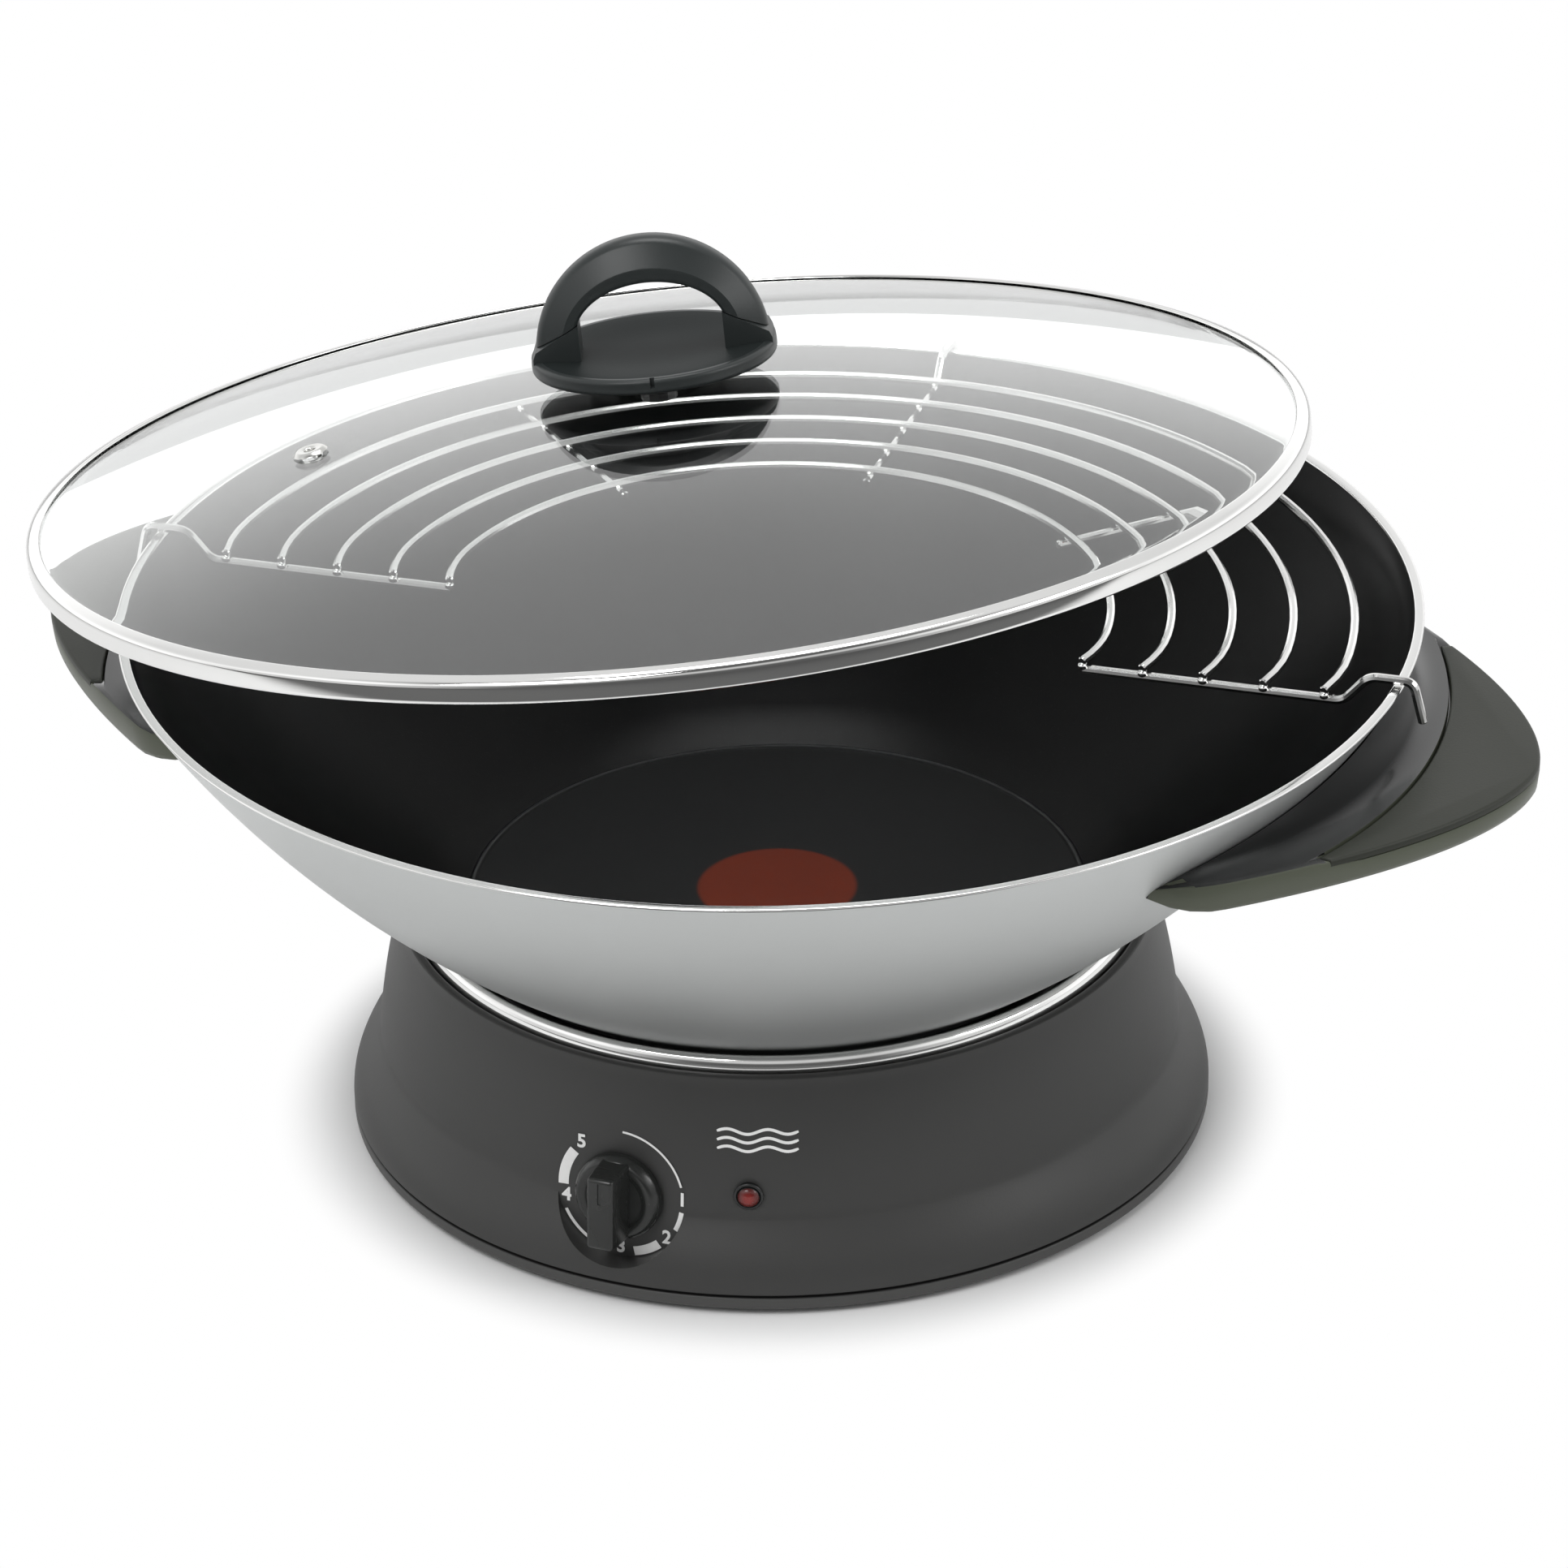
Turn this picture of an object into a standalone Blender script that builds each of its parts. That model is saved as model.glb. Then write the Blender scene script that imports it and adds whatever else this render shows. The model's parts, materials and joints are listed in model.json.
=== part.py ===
"""Electric wok: a heated base, a lift-out bowl with two handles, a half-round warming rack
hooked over the rim, and a domed glass lid held above the bowl, leaning to the back left.

Metres, +Z up.  The origin is on the bowl's axis, at the surface that the base stands on.
The controls face -Y, a little towards -X.
"""

import bpy
import bmesh
from math import asin, atan2, cos, hypot, pi, radians, sin, sqrt, tau
from mathutils import Matrix, Vector

# ---------------------------------------------------------------- shared
FIT = 0.0003                    # gap between pieces that touch
ROUND_STEPS = 48                # sides of the large turned pieces
SMALL_STEPS = 12                # sides of screws, feet and pins
EDGE_EASE = 0.0008              # small bevel on exposed edges
CUT_PAST = 0.010                # how far a cutter runs past the face that it cuts

# ---------------------------------------------------------------- base
BASE_TOP_R = 0.107
BASE_WAIST_R = 0.1143
BASE_FOOT_R = 0.1228
BASE_HEIGHT = 0.065
BASE_WAIST_Z = 0.026            # the skirt flares out below this height
BASE_WALL = 0.0025
SHELL_BOTTOM_Z = 0.0015
TOP_LIP = 0.0028                # width of the rounded top edge
TOP_STEP = 0.0023               # drop from the top edge to the ring seat
SEAT_THICK = 0.0025
FOOT_LIP_Z = 0.004              # the skirt runs straight down below this height

RING_WIDTH = 0.0054
RING_HEIGHT = 0.0060
RING_UPRIGHT = 0.0020           # straight part below the rounded crown

HOT_PLATE_R = 0.092
HOT_PLATE_DROP = 0.0043         # hot plate's top face below the base's top edge
HOT_PLATE_THICK = 0.008
HOT_PLATE_BEVEL = 0.003         # on the underside's edge

COVER_THICK = 0.0025
COVER_Z = 0.0035
COVER_ROOM = 0.0016             # round the cover's edge
FOOT_PAD_R = 0.008
FOOT_PAD_HEIGHT = 0.0032
FOOT_STEM_R = 0.0025
FOOT_STEM_UP = 0.0045
FOOT_CIRCLE_R = 0.088
FOOT_ANGLES = [radians(a) for a in (45, 135, 225, 315)]

BOSS_R = 0.0045
BOSS_CIRCLE_R = 0.1025
BOSS_ANGLES = [radians(a) for a in (15, 165, 195, 345)]
SCREW_HEAD_R = 0.0034
SCREW_HEAD_HEIGHT = 0.0018
SCREW_SHANK_R = 0.0014
SCREW_LENGTH = 0.012

PILLAR_CIRCLE_R = 0.080
PILLAR_ANGLES = [radians(a) for a in (30, 150, 275)]
PILLAR_FOOT_R = 0.005
PILLAR_NECK_R = 0.003
SHIELD_Z = 0.041
SHIELD_R = 0.089
SHIELD_THICK = 0.001
ELEMENT_R = 0.058
ELEMENT_TUBE = 0.0066
ELEMENT_GAP = radians(24)       # opening between the two terminal ends
CUTOUT_R = 0.008
CUTOUT_HEIGHT = 0.006

# ---------------------------------------------------------------- control face
DIAL_AZIMUTH = radians(-113)
DIAL_OUT = 0.1128               # axis to the dial face, measured level
DIAL_Z = 0.0285
DIAL_TILT = radians(5)
DIAL_R = 0.019                  # flat round face sunk into the flared side
DIAL_FLOOR = 0.0025
DIAL_BOSS_DEPTH = 0.030
DIAL_STEPS = 28
KNOB_SKIRT_R = 0.0125
KNOB_SKIRT_HEIGHT = 0.0045
KNOB_BAR_WIDTH = 0.0075
KNOB_BAR_HEIGHT = 0.0145
KNOB_BAR_SPAN = 0.0235
KNOB_BEVEL = 0.0015
KNOB_SOCKET = 0.008             # how deep the shaft runs into the knob
SHAFT_R = 0.003
THERMOSTAT_SIZE = (0.032, 0.026, 0.018)
THERMOSTAT_ENTRY = 0.006        # how deep the shaft runs into the thermostat
BRACKET_SIZE = (0.026, 0.020, 0.0012)

LENS_AZIMUTH = radians(-94.8)
LENS_Z = 0.0325
LENS_R = 0.0041
LENS_STEM_R = 0.0034
LENS_DOME = 0.0016
LENS_FLANGE = (0.0006, 0.0012)  # heights of the flange's two edges above the side
LENS_TAIL = 0.001               # stem left showing inside the wall
LAMP_R = 0.0029
LAMP_LENGTH = 0.012

INLET_Z = 0.036
INLET_WIDTH = 0.031
INLET_HEIGHT = 0.020
INLET_DEPTH = 0.024
INLET_FLANGE = 0.002
INLET_FLANGE_THICK = 0.002
INLET_WALL = 0.002
PIN_SIZE = (0.002, 0.004)
PIN_PITCH = 0.007
PIN_DROP = -0.002
PIN_SPOTS = [("left", PIN_PITCH, PIN_DROP), ("earth", 0, -PIN_DROP), ("right", -PIN_PITCH, PIN_DROP)]
PIN_OUT = 0.016                 # free length of a pin inside the socket
PIN_TAIL = 0.005
LEAD_DIAMETER = 0.0022
LEAD_LEVEL = 0.008              # above the cover
LEAD_STRAIGHT = 0.006           # straight run where a lead leaves a terminal
LEAD_EASE = 0.0025
TERMINAL_PITCH = 0.008
LEAD_WAY_R = 0.0025             # holes where leads rise through the heat shield

# ---------------------------------------------------------------- bowl
RIM_R = 0.180
BOWL_DEPTH = 0.0907
BOWL_WALL = 0.003
BOWL_BOTTOM_THICK = 0.0046
BOWL_FLOOR_R = 0.0873
BOWL_WALL_BULGE = 0.0065        # sagitta of the curved wall
RIM_EASE = 0.0006
FOOT_EASE = (0.0015, 0.0030)    # the foot's rounding, outwards and up
FLOOR_EASE = 0.004              # height of the bend between floor and wall

# ---------------------------------------------------------------- handles
HANDLE_AZIMUTHS = {"right": radians(-20), "left": radians(160)}
HANDLE_REACH = 0.217            # axis to the outermost point
HANDLE_TIP_X = 0.1425
HANDLE_TIP_Y = 0.0965
HANDLE_POINTEDNESS = 1.85
HANDLE_BELOW_RIM = 0.020
HANDLE_THICK = 0.009
HANDLE_STATIONS = 20
HANDLE_LOWER_EASE = (0.001, 0.002)
HANDLE_PLATE_THICK = 0.002
COLLAR_RISE = 0.010             # how far the collar climbs the bowl above the plate
COLLAR_SEAM_R = 0.188
COLLAR_SEAM_DRAW_IN = 0.0035
PLATE_INSET = 0.003             # least width of the plate beyond the seam
HANDLE_SCREW_R = 0.1825
HANDLE_SCREW_BITE = 0.005
HANDLE_SCREW_SPREAD = radians(7)
BRACKET_REACH = 0.189
BRACKET_THICK = 0.0015
BRACKET_FALL = 0.012
BRACKET_SPREAD = radians(11)

# ---------------------------------------------------------------- rack
RACK_TURN = radians(-18.15)
RACK_FORWARD = 0.0075           # how far the straight side lies in front of the axis
RACK_WIRE = 0.0026
RACK_ARCS = 5
RACK_INNER_R = 0.094
RACK_OUTER_R = 0.161
RACK_DROP = 0.008               # hook top down to the straight wires
RACK_OVERHANG = 0.0025
HOOK_RISE_RUN = 0.007
HOOK_OUT = 0.0025
HOOK_TAIL = 0.0115
HOOK_SPLAY = 0.003
HOOK_EASE = 0.002
CROSS_WIRE_ANGLES = {"right": radians(45), "left": radians(135)}

# ---------------------------------------------------------------- lid
LID_R = 0.1759
LID_CENTRE = (-0.0271, 0.0)
LID_ABOVE_RIM = 0.0363          # lid rim's centre above the bowl's rim
LID_TILT = radians(8.4)
LID_LOW_SIDE = radians(123.2)
LID_DOME = 0.030
GLASS_THICK = 0.004
BAND_THICK = 0.0008
BAND_GRIP = 0.006
KNOB_HOLE_R = 0.0045
VENT_R = 0.0962
VENT_ANGLE = radians(190)
VENT_BORE_R = 0.0015
VENT_STEM_R = 0.0027
VENT_FLANGE_R = 0.0050

VENT_SEAT = 0.0005              # flange's underside above the glass
VENT_PAST = 0.001               # stem left showing inside

GASKET_R = 0.012
GASKET_THICK = 0.0012
KNOB_DISC_R = 0.0335
KNOB_DISC_TOP = 0.0090          # above the glass
KNOB_DISC_EDGE = 0.0050
KNOB_DISH = 0.0015
KNOB_FLARE = 0.004              # width of the slope under the disc's edge
KNOB_STEM_R = 0.019
GRIP_DEPTH = 0.015
GRIP_TOP = 0.0400
GRIP_THICK = 0.0118
GRIP_OPENING_HALF = 0.0205
SEAM_OUTER_UP = 0.0030          # where the grip meets the disc's two shoulders, above the disc
SEAM_INNER_UP = 0.0095
GRIP_BURY = 0.001               # how far the grip's arc starts below the disc's top
OPENING_SPRING = 0.004          # the opening's curve starts this far below the inner seam
EAR_BURY = 0.002
KNOB_SCREW_COVER = 0.002        # knob left above the screw's end
KNOB_SCREW_R = 0.0022
KNOB_SCREW_HEAD_R = 0.0050
KNOB_SCREW_HEAD = 0.0030
WASHER_R = 0.0085
WASHER_THICK = 0.0012

# ---------------------------------------------------------------- worked out from the above
HOT_PLATE_TOP = BASE_HEIGHT - HOT_PLATE_DROP
HOT_PLATE_UNDER = HOT_PLATE_TOP - HOT_PLATE_THICK
BOWL_UNDER = HOT_PLATE_TOP + FIT
BOWL_FLOOR_Z = BOWL_UNDER + BOWL_BOTTOM_THICK
RIM_Z = BOWL_FLOOR_Z + BOWL_DEPTH
RING_OUTER_R = BASE_TOP_R - TOP_LIP - FIT
RING_INNER_R = RING_OUTER_R - RING_WIDTH
SEAT_Z = BASE_HEIGHT - TOP_STEP
COVER_R = BASE_FOOT_R - BASE_WALL - COVER_ROOM
COVER_TOP = COVER_Z + COVER_THICK
HANDLE_TOP = RIM_Z - HANDLE_BELOW_RIM
HANDLE_BOTTOM = HANDLE_TOP - HANDLE_THICK
WIRE_OVER_RIM = RACK_WIRE / 2 + FIT
WIRE_LOW = WIRE_OVER_RIM - RACK_DROP
WIRE_HIGH = WIRE_LOW + RACK_WIRE + FIT

# ---------------------------------------------------------------- finishes: colour, roughness, metallic
BASE_PLASTIC = ((0.062, 0.062, 0.060), 0.42, 0.0)
BLACK_PLASTIC = ((0.020, 0.021, 0.020), 0.30, 0.0)
HANDLE_PLATE = ((0.052, 0.055, 0.047), 0.45, 0.0)
KNOB_PLASTIC = ((0.040, 0.048, 0.045), 0.35, 0.0)
BOWL_METAL = ((0.560, 0.575, 0.570), 0.35, 0.8)
STEEL = ((0.62, 0.62, 0.61), 0.25, 1.0)
CHROME = ((0.80, 0.80, 0.80), 0.06, 1.0)
CAST_METAL = ((0.20, 0.20, 0.20), 0.55, 0.8)
BRASS = ((0.60, 0.45, 0.18), 0.30, 1.0)
RUBBER = ((0.015, 0.015, 0.015), 0.80, 0.0)
RED_LENS = ((0.35, 0.02, 0.015), 0.15, 0.0)
GLASS = ((0.80, 0.82, 0.80), 0.02, 0.0)
RED_LEAD = ((0.40, 0.03, 0.02), 0.50, 0.0)
BLUE_LEAD = ((0.03, 0.08, 0.35), 0.50, 0.0)


# ---------------------------------------------------------------- making solids
def material(name, finish):
    colour, roughness, metallic = finish
    made = bpy.data.materials.new(name)
    made.use_nodes = True
    made.diffuse_color = (*colour, 1.0)
    shader = made.node_tree.nodes["Principled BSDF"]
    shader.inputs["Base Color"].default_value = (*colour, 1.0)
    shader.inputs["Roughness"].default_value = roughness
    shader.inputs["Metallic"].default_value = metallic
    return made


def place(obj, finish, parent=None):
    bpy.context.scene.collection.objects.link(obj)
    obj.data.materials.append(material(obj.name, finish))
    obj.parent = parent
    return obj


def solid(name, bm, finish, parent=None):
    """A mesh object from a bmesh, with doubles merged and faces pointing out."""
    bmesh.ops.remove_doubles(bm, verts=bm.verts, dist=1e-7)
    bmesh.ops.recalc_face_normals(bm, faces=bm.faces)
    mesh = bpy.data.meshes.new(name)
    bm.to_mesh(mesh)
    bm.free()
    mesh.shade_smooth()
    mesh.set_sharp_from_angle(angle=radians(35))
    return place(bpy.data.objects.new(name, mesh), finish, parent)


def frame(name, matrix, parent=None):
    """An empty that carries the pieces built round its own Z axis."""
    empty = bpy.data.objects.new(name, None)
    bpy.context.scene.collection.objects.link(empty)
    empty.parent = parent
    empty.matrix_basis = matrix
    return empty


def turned(name, outline, finish, steps=ROUND_STEPS, parent=None, start=0.0, sweep=tau):
    """The (radius, height) outline turned round Z; one that starts and ends on the axis stays open."""
    bm = bmesh.new()
    verts = [bm.verts.new((r, 0, z)) for r, z in outline]
    edges = [bm.edges.new(pair) for pair in zip(verts, verts[1:])]
    if outline[0][0] > 0:
        edges.append(bm.edges.new((verts[-1], verts[0])))
    bmesh.ops.rotate(bm, verts=verts, matrix=Matrix.Rotation(start, 3, "Z"))
    bmesh.ops.spin(
        bm, geom=verts + edges, axis=(0, 0, 1), angle=sweep, steps=steps, use_merge=sweep == tau
    )
    bmesh.ops.remove_doubles(bm, verts=bm.verts, dist=1e-7)
    if sweep < tau:
        open_edges = [edge for edge in bm.edges if edge.is_boundary]
        bmesh.ops.holes_fill(bm, edges=open_edges, sides=0)
    return solid(name, bm, finish, parent)


def rod(name, radius, low, high, finish, steps=SMALL_STEPS, parent=None):
    outline = [(0, low), (radius, low), (radius, high), (0, high)]
    return turned(name, outline, finish, steps, parent)


def prism(name, outline, low, high, finish, parent=None, up="Z"):
    """An outline in the plane across `up`, extruded from low to high along it."""
    bm = bmesh.new()
    spots = [(x, y, low) if up == "Z" else (x, low, y) for x, y in outline]
    face = bm.faces.new([bm.verts.new(spot) for spot in spots])
    grown = bmesh.ops.extrude_face_region(bm, geom=[face])["geom"]
    shift = (0, 0, high - low) if up == "Z" else (0, high - low, 0)
    bmesh.ops.translate(bm, vec=shift, verts=[v for v in grown if isinstance(v, bmesh.types.BMVert)])
    return solid(name, bm, finish, parent)


def block(name, size, centre, finish, parent=None):
    """A box of the given size round its centre."""
    x, y, z = (side / 2 for side in size)
    cx, cy, cz = centre
    outline = [(cx - x, cy - y), (cx + x, cy - y), (cx + x, cy + y), (cx - x, cy + y)]
    return prism(name, outline, cz - z, cz + z, finish, parent)


def tube(name, points, diameter, finish, parent=None):
    """A round wire along the points, with closed ends."""
    curve = bpy.data.curves.new(name, "CURVE")
    curve.dimensions = "3D"
    curve.bevel_depth = diameter / 2
    curve.bevel_resolution = 1
    curve.use_fill_caps = True
    spline = curve.splines.new("POLY")
    spline.points.add(len(points) - 1)
    for spot, point in zip(spline.points, points):
        spot.co = (*point, 1.0)
    return place(bpy.data.objects.new(name, curve), finish, parent)


def eased(points, ease, steps=4):
    """The path with each inner corner replaced by a smooth bend that starts `ease` away from it."""
    points = [Vector(p) for p in points]
    path = [points[0]]
    for before, corner, after in zip(points, points[1:], points[2:]):
        start = corner + (before - corner).normalized() * ease
        end = corner + (after - corner).normalized() * ease
        for i in range(steps + 1):
            t = i / steps
            path.append(start * (1 - t) ** 2 + corner * 2 * t * (1 - t) + end * t * t)
    path.append(points[-1])
    return path


def work_with(target, tools, operation="DIFFERENCE"):
    """Cuts the tools from the target in one go, or joins them to it, and hides them."""
    shelf = bpy.data.collections.new(f"{target.name}_{operation.lower()}")
    bpy.context.scene.collection.children.link(shelf)
    loose = bpy.context.scene.collection.objects
    for tool in tools:
        if tool.name in loose:
            loose.unlink(tool)
        shelf.objects.link(tool)
        tool.hide_render = True
        tool.display_type = "WIRE"
    modifier = target.modifiers.new(shelf.name, "BOOLEAN")
    modifier.operation = operation
    modifier.operand_type = "COLLECTION"
    modifier.collection = shelf


def around(name, radius, angle):
    """A frame standing at this radius and angle from the main axis, its X pointing outwards."""
    spot = Matrix.Rotation(angle, 4, "Z") @ Matrix.Translation((radius, 0, 0))
    return frame(name, spot)


# ---------------------------------------------------------------- base
def base_side(steps=4):
    """The outer side from the top edge down to the foot: a gentle flare, then a rounder skirt."""
    top_z = BASE_HEIGHT - TOP_LIP / 2
    flare = []
    for i in range(steps + 1):
        t = i / steps
        widen = (BASE_WAIST_R - BASE_TOP_R) * (1.5 * t - 0.5 * t * t)
        flare.append((BASE_TOP_R + widen, top_z + (BASE_WAIST_Z - top_z) * t))
    skirt = []
    for i in range(1, steps + 1):
        t = i / steps
        drop = (BASE_WAIST_Z - FOOT_LIP_Z) * t
        widen = (BASE_FOOT_R - BASE_WAIST_R) * sin(t * pi / 2) ** 1.15
        skirt.append((BASE_WAIST_R + widen, BASE_WAIST_Z - drop))
    return flare + skirt


def make_base_shell():
    side = base_side()
    foot = [
        (BASE_FOOT_R, SHELL_BOTTOM_Z + EDGE_EASE),
        (BASE_FOOT_R - EDGE_EASE, SHELL_BOTTOM_Z),
    ]
    inner_foot = (BASE_FOOT_R - BASE_WALL, SHELL_BOTTOM_Z)
    seat_under = SEAT_Z - SEAT_THICK
    inner_low = FOOT_LIP_Z + EDGE_EASE
    inner_high = seat_under - BASE_WALL
    inner = [(r - BASE_WALL, z) for r, z in reversed(side) if inner_low < z < inner_high]
    seat_r = RING_OUTER_R + FIT
    top = [
        (BASE_TOP_R - BASE_WALL, seat_under),
        (RING_INNER_R - EDGE_EASE, seat_under),
        (RING_INNER_R - EDGE_EASE, SEAT_Z),
        (seat_r, SEAT_Z),
        (seat_r, BASE_HEIGHT - EDGE_EASE),
        (seat_r + EDGE_EASE, BASE_HEIGHT),
        (BASE_TOP_R - EDGE_EASE, BASE_HEIGHT),
    ]
    shell = turned("base_shell", side + foot + [inner_foot] + inner + top, BASE_PLASTIC)
    envelope = turned(
        "base_envelope",
        [(0, BASE_HEIGHT)] + [(r - BASE_WALL / 2, z) for r, z in side] + [(0, side[-1][1])],
        BASE_PLASTIC,
    )
    boss_low = COVER_TOP + FIT
    boss_high = seat_under + EDGE_EASE
    bosses = []
    for i, angle in enumerate(BOSS_ANGLES):
        spot = around(f"boss_at_{i}", BOSS_CIRCLE_R, angle)
        bosses.append(rod(f"boss_{i}", BOSS_R, boss_low, boss_high, BASE_PLASTIC, parent=spot))
    dial_boss = rod(
        "dial_boss",
        DIAL_R + BASE_WALL,
        -DIAL_FLOOR,
        DIAL_BOSS_DEPTH,
        BASE_PLASTIC,
        DIAL_STEPS,
        dial_frame,
    )
    work_with(dial_boss, [envelope], "INTERSECT")
    work_with(shell, bosses + [dial_boss], "UNION")
    cutters = [
        stepped_way("dial_pocket", dial_frame),
        rod("lens_way", LENS_STEM_R + FIT, -CUT_PAST, CUT_PAST, BASE_PLASTIC, parent=frames["lens"]),
        block(
            "inlet_way",
            (INLET_WIDTH + 2 * FIT, INLET_HEIGHT + 2 * FIT, 3 * CUT_PAST),
            (0, 0, 0),
            BASE_PLASTIC,
            frames["inlet"],
        ),
    ]
    for i, angle in enumerate(BOSS_ANGLES):
        spot = around(f"pilot_hole_at_{i}", BOSS_CIRCLE_R, angle)
        hole_r = SCREW_SHANK_R + FIT
        hole_top = COVER_Z + SCREW_LENGTH + 2 * SCREW_SHANK_R
        cutters.append(rod(f"pilot_hole_{i}", hole_r, 0, hole_top, BASE_PLASTIC, parent=spot))
    work_with(shell, cutters)


def stepped_way(name, spot):
    """The dial's round sink and, behind it, the hole that the shaft runs through."""
    hole = SHAFT_R + 2 * FIT
    mouth = DIAL_BOSS_DEPTH + CUT_PAST
    outline = [(0, -CUT_PAST), (hole, -CUT_PAST), (hole, 0), (DIAL_R, 0), (DIAL_R, mouth), (0, mouth)]
    return turned(name, outline, BASE_PLASTIC, DIAL_STEPS, spot)


def side_radius(height):
    """The base's outer radius at a height on its side."""
    side = base_side(24)
    for (r_up, z_up), (r_low, z_low) in zip(side, side[1:]):
        if z_low <= height <= z_up:
            return r_low + (r_up - r_low) * (height - z_low) / (z_up - z_low)
    return BASE_TOP_R


def make_trim_ring():
    centre = (RING_OUTER_R + RING_INNER_R) / 2
    low = SEAT_Z + FIT
    steps = 6
    crown = []
    for i in range(steps + 1):
        turn = pi * i / steps
        up = RING_UPRIGHT + sin(turn) * (RING_HEIGHT - RING_UPRIGHT)
        crown.append((centre + cos(turn) * RING_WIDTH / 2, low + up))
    turned("trim_ring", [(RING_INNER_R, low), (RING_OUTER_R, low)] + crown, CHROME)


def make_bottom_cover():
    cover = rod("bottom_cover", COVER_R, COVER_Z, COVER_TOP, BLACK_PLASTIC, 36)
    holes = []
    for i, angle in enumerate(BOSS_ANGLES):
        spot = around(f"screw_way_at_{i}", BOSS_CIRCLE_R, angle)
        holes.append(rod(f"screw_way_{i}", SCREW_SHANK_R + FIT, 0, CUT_PAST, RUBBER, parent=spot))
    for i, angle in enumerate(FOOT_ANGLES):
        spot = around(f"stem_way_at_{i}", FOOT_CIRCLE_R, angle)
        holes.append(rod(f"stem_way_{i}", FOOT_STEM_R + FIT, 0, CUT_PAST, RUBBER, parent=spot))
    work_with(cover, holes)


def make_cover_screws_and_feet():
    head_top = COVER_Z - FIT
    screw = [
        (0, head_top - SCREW_HEAD_HEIGHT),
        (SCREW_HEAD_R, head_top - SCREW_HEAD_HEIGHT),
        (SCREW_HEAD_R, head_top),
        (SCREW_SHANK_R, head_top),
        (SCREW_SHANK_R, head_top + SCREW_LENGTH),
        (0, head_top + SCREW_LENGTH),
    ]
    for i, angle in enumerate(BOSS_ANGLES, 1):
        spot = around(f"cover_screw_at_{i}", BOSS_CIRCLE_R, angle)
        turned(f"cover_screw_{i}", screw, STEEL, SMALL_STEPS, spot)
    foot = [
        (0, 0),
        (FOOT_PAD_R, 0),
        (FOOT_PAD_R, FOOT_PAD_HEIGHT),
        (FOOT_STEM_R, FOOT_PAD_HEIGHT),
        (FOOT_STEM_R, FOOT_PAD_HEIGHT + FOOT_STEM_UP),
        (0, FOOT_PAD_HEIGHT + FOOT_STEM_UP),
    ]
    for i, angle in enumerate(FOOT_ANGLES, 1):
        spot = around(f"foot_at_{i}", FOOT_CIRCLE_R, angle)
        turned(f"foot_{i}", foot, RUBBER, SMALL_STEPS, spot)


def make_heater():
    plate = [
        (0, HOT_PLATE_UNDER),
        (HOT_PLATE_R - HOT_PLATE_BEVEL, HOT_PLATE_UNDER),
        (HOT_PLATE_R, HOT_PLATE_UNDER + HOT_PLATE_BEVEL),
        (HOT_PLATE_R, HOT_PLATE_TOP - EDGE_EASE),
        (HOT_PLATE_R - EDGE_EASE, HOT_PLATE_TOP),
        (0, HOT_PLATE_TOP),
    ]
    turned("hot_plate", plate, CAST_METAL)
    pillar = [
        (0, COVER_TOP + FIT),
        (PILLAR_FOOT_R, COVER_TOP + FIT),
        (PILLAR_FOOT_R, SHIELD_Z),
        (PILLAR_NECK_R, SHIELD_Z),
        (PILLAR_NECK_R, HOT_PLATE_UNDER - FIT),
        (0, HOT_PLATE_UNDER - FIT),
    ]
    ways = []
    way_low = SHIELD_Z - CUT_PAST
    way_high = SHIELD_Z + CUT_PAST
    for i, angle in enumerate(PILLAR_ANGLES, 1):
        spot = around(f"plate_pillar_at_{i}", PILLAR_CIRCLE_R, angle)
        turned(f"plate_pillar_{i}", pillar, STEEL, SMALL_STEPS, spot)
        ways.append(rod(f"pillar_way_{i}", PILLAR_NECK_R + FIT, way_low, way_high, STEEL, parent=spot))
    shield_low = SHIELD_Z + FIT
    for way in (1, -1):
        spot = frame(f"lead_way_at_{way}", Matrix.Translation(element_end(way)))
        ways.append(rod(f"lead_way_{way}", LEAD_WAY_R, way_low, way_high, STEEL, parent=spot))
    shield = rod("heat_shield", SHIELD_R, shield_low, shield_low + SHIELD_THICK, STEEL, 24)
    work_with(shield, ways)
    level = HOT_PLATE_UNDER - FIT - ELEMENT_TUBE / 2
    start = pi / 2 + ELEMENT_GAP / 2
    sweep = tau - ELEMENT_GAP
    count = 24
    loop = []
    for i in range(count + 1):
        turn = start + sweep * i / count
        loop.append((ELEMENT_R * cos(turn), ELEMENT_R * sin(turn), level))
    tube("heating_element", loop, ELEMENT_TUBE, STEEL)
    cutout_top = HOT_PLATE_UNDER - FIT
    rod("thermal_cutout", CUTOUT_R, cutout_top - CUTOUT_HEIGHT, cutout_top, BLACK_PLASTIC)


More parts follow.
